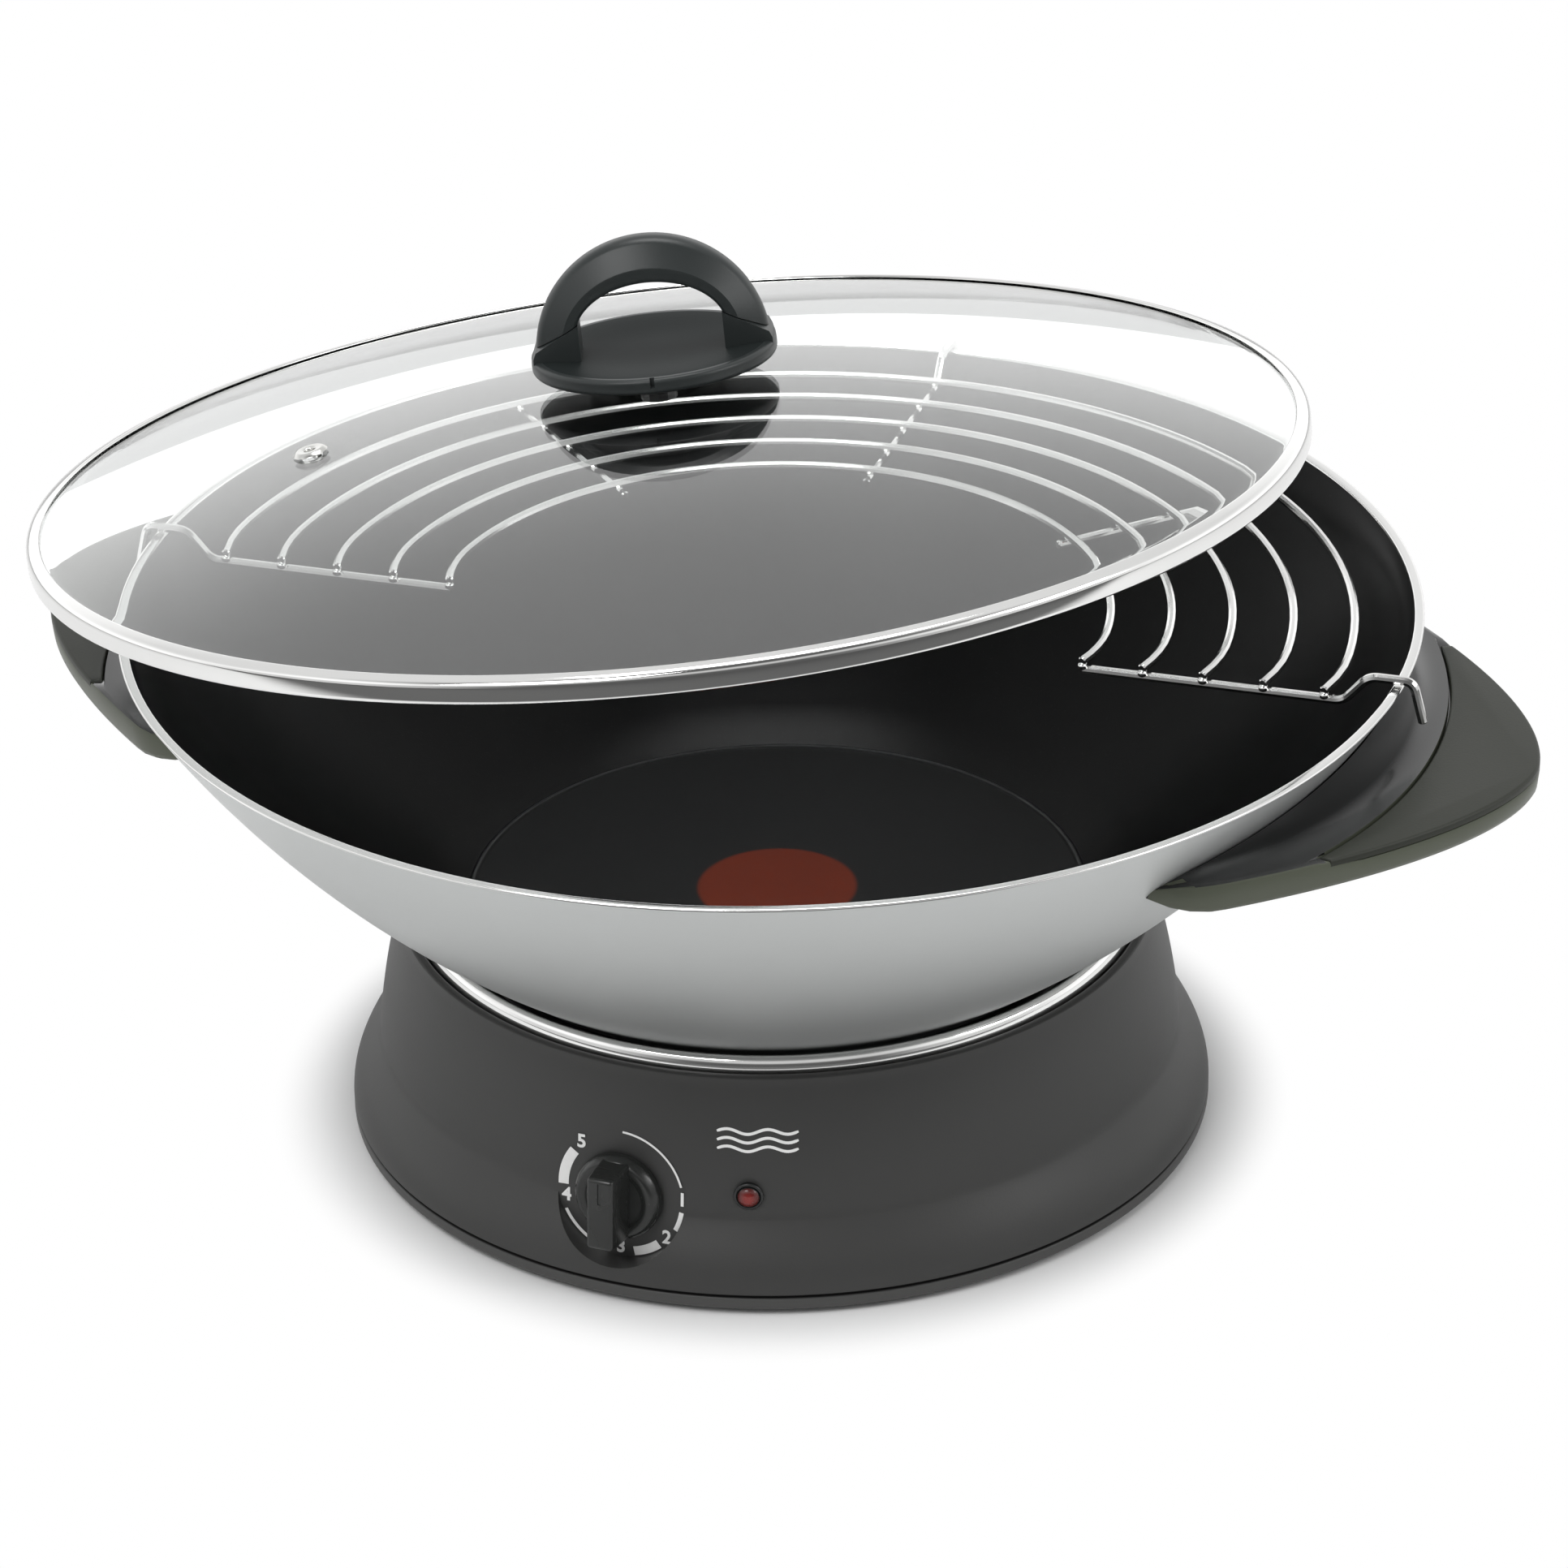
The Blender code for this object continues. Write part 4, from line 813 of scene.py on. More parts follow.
class WOK_OT_underside(bpy.types.Operator):
    """Bottom cover, its screws and the rubber feet"""

    bl_idname = "wok.underside"
    bl_label = "Underside"

    def execute(self, context):
        cover_low, cover_high = low_of("bottom_cover").z, high_of("bottom_cover").z
        cover_r = high_of("bottom_cover").x
        outline = [(0, cover_low)]
        for k in range(1, 4):
            groove = cover_r * k / 4.6
            outline += [
                (groove - 0.0012, cover_low), (groove - 0.0006, cover_low + 0.0006),
                (groove + 0.0006, cover_low + 0.0006), (groove + 0.0012, cover_low),
            ]
        outline += [
            (cover_r, cover_low, 0.0008), (cover_r, cover_high, 0.0004), (0, cover_high),
        ]
        cover = turned(eased(outline), 128)
        work = []
        for k in range(1, 5):
            for node, hole in ((f"foot_{k}", 0.0028), (f"cover_screw_{k}", 0.0017)):
                work.append(("DIFFERENCE", drum(hole, -0.01, 0.02, 24, upright_at(node))))
        finish = satin_plastic("cover satin plastic", (0.022, 0.023, 0.022), 0.5, 900.0, 0.0001)
        settle_mesh("bottom_cover_fine", carve(cover, *work), "base", [finish], ["bottom_cover"])
        feet_finish = rubber("foot rubber")
        steel = dull_metal("cover screw steel", (0.42, 0.42, 0.41), 0.32)
        for k in range(1, 5):
            self.foot(k, feet_finish)
            cross_screw(f"cover_screw_{k}", "base", steel)
        return {"FINISHED"}

    def foot(self, k, finish):
        node = f"foot_{k}"
        top = high_of(node).z
        pad_r = 0.008
        outline = [
            (0, 0.0003), (pad_r * 0.55, 0.0003), (pad_r * 0.62, 0, 0.0003),
            (pad_r, 0, 0.0008), (pad_r, 0.0032, 0.0006), (0.0025, 0.0032), (0.0025, top, 0.0005),
            (0, top),
        ]
        bm = turned(eased(outline), 40, upright_at(node))
        settle(f"foot_pad_{k}", bm, "base", [finish], [node])


def cross_screw(node, body, finish):
    """A pan-head screw that points up, with a cross recess in its head."""
    low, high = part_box(node)
    middle = middle_of(node)
    head_r = (high.x - low.x) / 2
    shank_r = 0.0014
    head_top = low.z + 0.0018
    outline = [
        (0, low.z), (head_r * 0.6, low.z, 0.0010), (head_r, low.z + 0.0011, 0.0005),
        (head_r, head_top, 0.0002), (shank_r, head_top), (shank_r, high.z, 0.0004), (0, high.z),
    ]
    head = turned(eased(outline), 32, upright_at(node))
    slots = []
    for size in ((head_r * 1.15, 0.0008, 0.0020), (0.0008, head_r * 1.15, 0.0020)):
        slots.append(("DIFFERENCE", brick(size, (middle.x, middle.y, low.z))))
    settle_mesh(f"{node}_fine", carve(head, *slots), body, [finish], [node])


class WOK_OT_heater(bpy.types.Operator):
    """Finishes of the hot plate, the element and the other pieces inside the base"""

    bl_idname = "wok.heater"
    bl_label = "Heater and Inner Pieces"

    def execute(self, context):
        self.hot_plate()
        dress(dull_metal("element sheath", (0.20, 0.19, 0.18), 0.45), "heating_element")
        dress(dull_metal("shield sheet", (0.55, 0.55, 0.54), 0.30), "heat_shield")
        pillars = [f"plate_pillar_{k}" for k in (1, 2, 3)]
        dress(dull_metal("pillar steel", (0.45, 0.45, 0.44), 0.35), *pillars)
        dress(dull_metal("bracket steel", (0.50, 0.50, 0.48), 0.33), "thermostat_bracket")
        dress(bright_metal("shaft steel", (0.60, 0.60, 0.58), 0.18), "thermostat_shaft")
        dress(gloss_plastic("cutout resin", (0.020, 0.018, 0.016), 0.3), "thermal_cutout")
        dress(gloss_plastic("thermostat resin", (0.030, 0.022, 0.014), 0.35), "thermostat_body")
        live = satin_plastic("live wire sheath", (0.32, 0.02, 0.015), 0.45)
        dress(live, "supply_lead", "thermostat_lead")
        dress(satin_plastic("neutral wire sheath", (0.02, 0.06, 0.28), 0.45), "element_lead")
        lamp = Finish("lamp glass")
        cloud = lamp.noise(lamp.place(), 300.0)
        lamp.set(
            base_color=lamp.blend(cloud, (0.75, 0.40, 0.20), (0.85, 0.55, 0.35)), roughness=0.08
        )
        dress(lamp.material, "pilot_lamp")
        return {"FINISHED"}

    def hot_plate(self):
        """Cast plate, faced on a lathe."""
        low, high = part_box("hot_plate")
        plate_r = high.x
        outline = [
            (0, low.z), (plate_r - 0.003, low.z, 0.0005), (plate_r, low.z + 0.003, 0.0008),
            (plate_r, high.z, 0.001), (plate_r * 0.42, high.z, 0.0006),
            (plate_r * 0.40, high.z - 0.0006, 0.0004), (0, high.z - 0.0006),
        ]
        look = Finish("cast hot plate")
        lines, radius, _ = look.turned_lines(look.place(), 1500.0)
        heat = look.noise(look.place(), 26.0, 4.0, 0.6)
        ring = radius.between(0.045, 0.058) - radius.between(0.064, 0.080)
        colour_now = look.blend(heat, (0.10, 0.10, 0.10), (0.17, 0.17, 0.165))
        look.set(
            base_color=look.blend(ring * 0.5, colour_now, (0.13, 0.10, 0.075)),
            metallic=0.85,
            roughness=0.42 + lines * 0.12 + heat * 0.08,
        )
        look.bump(lines, 0.4, 0.00008)
        settle("hot_plate_fine", turned(eased(outline), 160), "base", [look.material], ["hot_plate"])


# ------------------------------------------------------------------ dial, lens and mark
def ring_sector(inner, outer, first, last, low, high, matrix):
    """Part of a flat ring in a dial's plane; angles run clockwise from the top."""
    bm = bmesh.new()
    corners = [(inner, low), (outer, low), (outer, high), (inner, high)]
    verts = [bm.verts.new((0, r, z)) for r, z in corners]
    face = bm.faces.new(verts)
    steps = max(3, round(abs(last - first) / radians(3)))
    bmesh.ops.spin(bm, geom=[face], axis=(0, 0, 1), cent=(0, 0, 0), angle=first - last, steps=steps)
    bmesh.ops.recalc_face_normals(bm, faces=bm.faces)
    return moved(bm, matrix @ Matrix.Rotation(-first, 4, "Z"))


def lettering(text, height, depth, matrix):
    """Raised text, centred on the matrix and lying in its plane, as a bmesh."""
    curve = bpy.data.curves.new("lettering", "FONT")
    curve.body = text
    curve.size = height
    curve.extrude = depth / 2
    curve.align_x = "CENTER"
    curve.align_y = "CENTER"
    curve.offset = height * 0.028
    curve.resolution_u = 3
    return moved(finished_curve("lettering", curve), matrix)


class WOK_OT_dial(bpy.types.Operator):
    """Dial knob and the printed scale round it"""

    bl_idname = "wok.dial"
    bl_label = "Dial"

    def execute(self, context):
        place = dial_place()
        self.knob(place)
        self.scale(place)
        return {"FINISHED"}

    def knob(self, place):
        radius = sizes().knob_radius
        low = 2 * GAP
        skirt_top = low + 0.0045
        skirt = turned(
            eased([
                (0, low), (radius, low, 0.0004), (radius, skirt_top - 0.0022, 0.0008),
                (radius - 0.0014, skirt_top, 0.0009), (radius - 0.0035, skirt_top, 0.0006),
                (radius - 0.0045, skirt_top - 0.0006, 0.0006), (0, skirt_top - 0.0006),
            ]),
            96,
        )
        bar_top = low + 0.0145
        bar_low = low + 0.0012
        bar = brick((0.0090, 0.0226, bar_top - bar_low), (0, 0, (bar_top + bar_low) / 2))
        top_verts = [v for v in bar.verts if v.co.z > bar_top - TINY]
        bmesh.ops.scale(bar, vec=(0.84, 0.93, 1.0), verts=top_verts)
        upper = [e for e in bar.edges if any(v.co.z > bar_top - TINY for v in e.verts)]
        soften(bar, upper, 0.0011, 4)
        socket = drum(0.0033, -0.01, low + 0.008, 32)
        pointer = brick((0.0009, 0.0062, 0.0006), (0, 0.0062, bar_top))
        mesh = carve(skirt, ("UNION", bar), ("DIFFERENCE", socket), ("DIFFERENCE", pointer))
        mesh.transform(place)
        finish = gloss_plastic("dial knob plastic", (0.016, 0.017, 0.016), 0.22, place)
        settle_mesh("dial_knob", mesh, "control", [finish], ["control_knob"], crease=30)

    def scale(self, place):
        """Numbers 1 to 5 and a band between them that widens with the heat."""
        low, high = PRINT_LOW, PRINT_HIGH
        outer = sizes().dial_radius - 0.0004
        band = [(1, 74, 0.0006), (98, 117, 0.0013), (140, 167, 0.0026), (192, 206, 0.0020)]
        band += [(206, 244, 0.0009), (268, 306, 0.0030)]
        bm = bmesh.new()
        for first, last, width in band:
            turns = radians(first), radians(last)
            add_to(bm, ring_sector(outer - width, outer, *turns, low, high, place))
        numbers = [("1", 86, 0.6), ("2", 129, 1.2), ("3", 180, 2.3), ("4", 257, 2.0), ("5", 318, 1.0)]
        for text, turn, inwards in numbers:
            turn = radians(turn)
            reach = outer - inwards * 0.001
            spot = (reach * sin(turn), reach * cos(turn), (low + high) / 2)
            add_to(bm, lettering(text, NUMBER_HEIGHT, high - low, place @ Matrix.Translation(spot)))
        ink = printed("scale ink", colours().print)
        settle("dial_scale", bm, "base", [ink], crease=20)


class WOK_OT_mark(bpy.types.Operator):
    """Plain heat-wave mark printed above the lens"""

    bl_idname = "wok.mark"
    bl_label = "Heat Mark"

    def execute(self, context):
        bm = bmesh.new()
        for k in range(3):
            points = []
            for i in range(33):
                t = i / 32
                height = MARK_Z + MARK_PITCH * (k - 1) + MARK_WAVE * sin(t * tau * 2)
                turn = MARK_TURN + (t - 0.5) * MARK_WIDTH / side_radius(height)
                reach = side_radius(height) + PRINT_LOW
                points.append((reach * cos(turn), reach * sin(turn), height))
            ribbon = wire(points, MARK_LINE, 1)
            for vert in ribbon.verts:
                reach = hypot(vert.co.x, vert.co.y)
                wall = side_radius(vert.co.z)
                flat = wall + (MARK_OUT if reach > wall else MARK_IN)
                vert.co.x *= flat / reach
                vert.co.y *= flat / reach
            add_to(bm, ribbon)
        ink = printed("mark ink", colours().print)
        settle("heat_mark", bm, "base", [ink], crease=20)
        return {"FINISHED"}


class WOK_OT_pilot_lens(bpy.types.Operator):
    """Red pilot lens in its dark rim"""

    bl_idname = "wok.pilot_lens"
    bl_label = "Pilot Lens"

    def execute(self, context):
        place = side_place(LENS_TURN, LENS_Z)
        radius = sizes().lens_radius
        outline = eased([
            (0, -0.0035), (0.0034, -0.0035, 0.0003), (0.0034, 0.0003),
            (radius, 0.0003, 0.0003), (radius, 0.0011, 0.0005), (radius - 0.0007, 0.0013, 0.0004),
            (radius - 0.0010, 0.0008, 0.0003),
        ])
        dome_r = radius - 0.0010
        for i in range(11):
            turn = pi / 2 * i / 10
            outline.append((dome_r * cos(turn), 0.0009 + 0.0019 * sin(turn)))
        bm = turned(outline, 64, place)
        back = place.inverted()
        for face in bm.faces:
            spot = back @ face.calc_center_median()
            face.material_index = 1 if hypot(spot.x, spot.y) > dome_r - 0.0001 else 0
        red = Finish("red lens")
        x, y, _ = red.split(red.place(place))
        facets = red.node("ShaderNodeTexVoronoi", {}, {"Vector": red.place(place), "Scale": 900.0})
        # Painted highlight and shade: the lens is painted lighter in the middle and darker towards its
        # rim.
        edge = (x * x + y * y).root().between(0.0004, 0.0032)
        red.set(
            base_color=red.mottled(edge, colours().lens, 1.7, 0.45),
            roughness=0.22 + facets * 0.10,
            coat_weight=0.25,
            coat_roughness=0.08,
        )
        red.bump(facets, 0.4, 0.0002)
        rim = gloss_plastic("lens rim", colours().black, 0.3, place)
        settle("pilot_lens_fine", bm, "base", [red.material, rim], ["pilot_lens"])
        return {"FINISHED"}


class WOK_OT_inlet(bpy.types.Operator):
    """Appliance inlet at the back, with its three pins"""

    bl_idname = "wok.inlet"
    bl_label = "Inlet"

    def execute(self, context):
        low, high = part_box("inlet_housing")
        middle = middle_of("inlet_housing")
        flange = 0.002
        wide, tall = high.x - low.x, high.z - low.z
        deep = high.y - low.y
        turn = Matrix.Translation((middle.x, high.y, middle.z)) @ Matrix.Rotation(-pi / 2, 4, "X")
        body = brick((wide - 2 * flange, tall - 2 * flange, deep), (0, 0, -deep / 2))
        soften(body, upright_edges(body), 0.0025, 5)
        plate = brick((wide, tall, flange), (0, 0, -flange / 2))
        soften(plate, upright_edges(plate), 0.0035, 5)
        rim = [e for e in plate.edges if all(v.co.z > -TINY for v in e.verts)]
        soften(plate, rim, 0.0006, 2)
        wall = 0.002
        size = (wide - 2 * flange - 2 * wall, tall - 2 * flange - 2 * wall, deep)
        hollow = brick(size, (0, 0, wall))
        bmesh.ops.translate(hollow, vec=(0, 0, -deep / 2), verts=hollow.verts)
        soften(hollow, upright_edges(hollow), 0.0022, 5)
        mesh = carve(body, ("UNION", plate), ("DIFFERENCE", hollow))
        mesh.transform(turn)
        finish = satin_plastic("inlet plastic", (0.016, 0.016, 0.017), 0.4, 900.0)
        settle_mesh("inlet_fine", mesh, "base", [finish], ["inlet_housing"])
        brass = bright_metal("pin plating", (0.72, 0.66, 0.48), 0.16)
        for node in ("inlet_pin_earth", "inlet_pin_left", "inlet_pin_right"):
            low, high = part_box(node)
            pin = brick(high - low, middle_of(node))
            tip = [e for e in pin.edges if all(v.co.y > high.y - TINY for v in e.verts)]
            soften(pin, tip, 0.0006, 3)
            settle(f"{node}_fine", pin, "base", [brass], [node])
        return {"FINISHED"}


# ------------------------------------------------------------------ bowl
def wall_arc():
    """Centre, radius and foot of the bowl wall's outer curve."""
    foot = Vector((BOWL_FLOOR_R + 0.0045, BOWL_UNDER + 0.003))
    rim = Vector((sizes().rim_radius, RIM_Z - 0.0006))
    chord = rim - foot
    radius = (chord.length**2 / 4 + BOWL_BULGE**2) / (2 * BOWL_BULGE)
    outwards = Vector((chord.y, -chord.x)).normalized()
    centre = (foot + rim) / 2 - outwards * (radius - BOWL_BULGE)
    return centre, radius, foot


def wall_radius(height, inwards=0.0):
    centre, radius, _ = wall_arc()
    return centre.x + sqrt((radius - inwards) ** 2 - (height - centre.y) ** 2)


class WOK_OT_bowl(bpy.types.Operator):
    """Bowl: satin metal outside, non-stick coating inside, bright rim"""

    bl_idname = "wok.bowl"
    bl_label = "Bowl"

    def execute(self, context):
        wall = sizes().bowl_wall
        floor_z = BOWL_UNDER + BOWL_BOTTOM
        _, _, foot = wall_arc()
        rim_r = sizes().rim_radius
        steps = 28
        outer = []
        for i in range(steps + 1):
            z = foot.y + (RIM_Z - 0.0006 - foot.y) * i / steps
            outer.append((wall_radius(z), z))
        inner = []
        inner_low = floor_z + 0.0045
        for i in range(steps + 1):
            z = RIM_Z - 0.0008 - (RIM_Z - 0.0008 - inner_low) * i / steps
            inner.append((wall_radius(z, wall), z))
        outline = [(0, BOWL_UNDER), (BOWL_FLOOR_R, BOWL_UNDER, 0.0006)]
        outline += [(foot.x - 0.0010, BOWL_UNDER + 0.0012, 0.0012), *outer]
        outline += [(rim_r - 0.0002, RIM_Z, 0.0006), (inner[0][0] + 0.0002, RIM_Z, 0.0006), *inner]
        bead = BOWL_FLOOR_R - 0.0006
        outline += [
            (BOWL_FLOOR_R + 0.0014, floor_z + 0.0006, 0.002),
            (bead + 0.0010, floor_z + 0.0001, 0.0003), (bead + 0.0005, floor_z + 0.0005, 0.0003),
            (bead - 0.0005, floor_z + 0.0005, 0.0003), (bead - 0.0010, floor_z, 0.0003),
            (0, floor_z),
        ]
        bm = turned(eased(outline), sizes().turns)
        for face in bm.faces:
            spot = face.calc_center_median()
            reach = hypot(spot.x, spot.y)
            if spot.z > RIM_Z - 0.0008:
                face.material_index = 2
            else:
                middle = wall_radius(min(spot.z, RIM_Z), wall / 2) + 0.0002
                face.material_index = int(spot.z >= floor_z - 0.001 and reach <= middle)
        rim = bright_metal("rim polish", colours().bright, 0.10)
        finishes = [self.outside(), self.coating(), rim]
        settle("bowl_fine", bm, "bowl", finishes, ["wok_bowl"], crease=40)
        return {"FINISHED"}

    def outside(self):
        """Spun aluminium with a satin lacquer, with painted shade making it faintly darker towards the
        foot.
        """
        look = Finish("bowl satin metal")
        shade = colours().bowl
        lines, _, z = look.turned_lines(look.place(), 1800.0)
        clouds = look.noise(look.place(), 14.0, 3.0, 0.5)
        # Painted shade: below 0.12 m the metal is painted darker, down to half its shade, towards the
        # foot.
        low = 1.0 - z.between(0.060, 0.120)
        body = look.mottled(clouds, shade, 0.96, 1.02)
        look.set(
            base_color=look.blend(low * 0.8, body, shaded(shade, 0.50)),
            metallic=0.75,
            roughness=0.36 + lines * 0.08 + clouds * 0.03,
        )
        look.bump(lines, 0.12, 0.00003)
        return look.material

    def coating(self):
        """Black non-stick: fine speckle, a rubbed sheen, a painted highlight on the bead round the
        floor, and the round spot.
        """
        look = Finish("bowl non-stick")
        shade = colours().coating
        where = look.place()
        lines, radius, _ = look.turned_lines(where, 900.0)
        speckle = look.noise(where, 1600.0, 2.0, 0.6)
        rubbed = look.noise(where, 30.0, 4.0, 0.6)
        floor = 1.0 - radius.between(0.0862, 0.0870)
        body = look.mottled(rubbed, shade, 0.8, 1.6)
        body = look.blend(speckle.between(0.62, 0.74) * 0.35, body, shaded(shade, 6.0))
        body = look.blend(floor * 0.8, body, shaded(shade, 4.5))
        # Painted highlight: a thin ring over the bead round the floor is painted much lighter than the
        # coating.
        bead = radius.between(0.0860, 0.0865) - radius.between(0.0869, 0.0874)
        body = look.blend(bead * 0.9, body, shaded(shade, 16.0))
        spot_edge = sizes().spot_radius
        spot = 1.0 - radius.between(spot_edge - 0.0009, spot_edge + 0.0009)
        ink = look.mottled(rubbed, colours().spot, 0.8, 1.15)
        look.set(
            base_color=look.blend(spot, body, ink),
            roughness=0.24 + rubbed * 0.08 + speckle * 0.05 + floor * 0.10,
            specular_ior_level=0.12,
        )
        look.bump(speckle * 0.6 + lines * 0.4, 0.3, 0.00008)
        return look.material


# ------------------------------------------------------------------ handles
def handle_edge(t):
    """(angle, radius) of a handle's outer edge; t runs from one tip, -1, to the other, 1."""
    tip_x, tip_y = HANDLE_TIP
    x = HANDLE_REACH - (HANDLE_REACH - tip_x) * abs(t) ** HANDLE_POINTEDNESS
    y = tip_y * t
    return atan2(y, x), hypot(x, y)


def seam_radius(angle):
    tip_angle, _ = handle_edge(1)
    return COLLAR_SEAM_R - COLLAR_DRAW_IN * (angle / tip_angle) ** 2 * 2


class WOK_OT_handles(bpy.types.Operator):
    """Both handles: a hollow collar that climbs the bowl, and a flat top plate"""

    bl_idname = "wok.handles"
    bl_label = "Handles"

    def execute(self, context):
        black = self.collar_plastic()
        plate = satin_plastic("handle plate plastic", colours().plate, 0.46, 1300.0, 0.00008)
        # Painted light: the handles' outward sides take the plate plastic painted nearly four times
        # lighter.
        side_painted_light = satin_plastic("handle side plastic with painted light", shaded(colours().plate, 3.8), 0.36, 1300.0)
        for side, turn in HANDLE_TURNS.items():
            place = Matrix.Rotation(turn, 4, "Z")
            self.body(side, place, [black, side_painted_light])
            self.plate(side, place, plate)
        steel = dull_metal("handle fixing steel", (0.50, 0.50, 0.49), 0.30)
        for side in HANDLE_TURNS:
            dress(steel, f"handle_bracket_{side}")
            for k in (1, 2):
                cross_screw(f"handle_screw_{side}_{k}", "bowl", steel)
        return {"FINISHED"}

    def collar_plastic(self):
        """Glossy collar: blackest where it climbs to the bowl."""
        look = Finish("handle collar plastic")
        x, y, z = look.split(look.place())
        wipes = look.noise(look.join(x * 60.0, y * 60.0, z * 400.0), 1.0, 4.0, 0.7)
        ripple = look.noise(look.place(), 55.0, 2.0, 0.5)
        climb = z.between(HANDLE_TOP_Z + 0.0002, HANDLE_TOP_Z + 0.0022)
        look.set(
            base_color=look.mottled(ripple, colours().black, 0.4, 0.7),
            roughness=0.17 + wipes.between(0.45, 0.75) * 0.05 + climb * 0.12,
            specular_ior_level=0.10,
            coat_weight=1.0 - climb,
            coat_roughness=0.16,
        )
        look.bump(ripple, 0.2, 0.00005)
        return look.material

    def section(self, t):
        """The body's cross-section at t as (radius, height), with room for the plate."""
        angle, edge = handle_edge(t)
        climb = COLLAR_RISE * (1 - t * t)
        inner_low = wall_radius(HANDLE_LOW_Z) + 2 * GAP
        inner_high = wall_radius(HANDLE_TOP_Z + climb) + 2 * GAP
        seam = min(seam_radius(angle), edge - 0.002)
        width = edge - seam
        sunk = 0.0023 * min(max((width - 0.003) / 0.004, 0.0), 1.0)
        section = [(inner_low, HANDLE_LOW_Z)]
        steps = 14
        for k in range(steps + 1):
            s = k / steps
            reach = inner_high + (seam - inner_high) * s
            section.append((reach, HANDLE_TOP_Z + climb * (1 - s) ** 3.0))
        section += [
            (seam + 0.0001, HANDLE_TOP_Z - sunk * 0.5), (seam + 0.0002, HANDLE_TOP_Z - sunk),
            (edge - 0.0010, HANDLE_TOP_Z - sunk), (edge - 0.0003, HANDLE_TOP_Z - sunk - 0.0002),
            (edge, HANDLE_TOP_Z - sunk - 0.0008), (edge - 0.0004, HANDLE_LOW_Z + 0.0020),
            (edge - 0.0012, HANDLE_LOW_Z + 0.0006), (edge - 0.0026, HANDLE_LOW_Z),
        ]
        past = max(abs(t) - 0.90, 0.0) / 0.10
        shrink = max(sqrt(1 - past * past), 0.30)
        middle = HANDLE_LOW_Z + (HANDLE_TOP_Z - HANDLE_LOW_Z) * 0.6
        heart = Vector((inner_low, middle))
        return angle, [tuple(heart + (Vector(point) - heart) * shrink) for point in section]

    def body(self, side, place, finishes):
        bm = bmesh.new()
        stations = 72
        loops = []
        for i in range(stations + 1):
            angle, section = self.section(-1 + 2 * i / stations)
            spots = [(r * cos(angle), r * sin(angle), z) for r, z in section]
            loops.append(loop_through(bm, spots))
        join_loops(bm, loops)
        bmesh.ops.recalc_face_normals(bm, faces=bm.faces)
        for face in bm.faces:
            spot = face.calc_center_median()
            outward = face.normal.x * spot.x + face.normal.y * spot.y > 0.1 * hypot(spot.x, spot.y)
            # Outward side faces below the plate take the second finish, the plate plastic with painted
            # light.
            face.material_index = 1 if outward and spot.z < HANDLE_TOP_Z - 0.0004 else 0
        node = f"handle_{side}"
        settle(f"{node}_fine", moved(bm, place), "bowl", finishes, [node], crease=40)

    def plate(self, side, place, finish):
        stations = 96
        edges = [handle_edge(-1 + 2 * i / stations) for i in range(stations + 1)]
        over = [(a, r) for a, r in edges if r > seam_radius(a) + 0.0032]
        outline = [(r * cos(a), r * sin(a)) for a, r in over]
        inner = [(a, seam_radius(a) + 0.0006) for a, _ in reversed(over)]
        outline += [(r * cos(a), r * sin(a)) for a, r in inner]
        bm = slab(outline, HANDLE_TOP_Z - 0.002, HANDLE_TOP_Z)
        top = [e for e in bm.edges if all(v.co.z > HANDLE_TOP_Z - TINY for v in e.verts)]
        soften(bm, top, 0.0009, 4)
        node = f"handle_plate_{side}"
        settle(f"{node}_fine", moved(bm, place), "bowl", [finish], [node], crease=30)


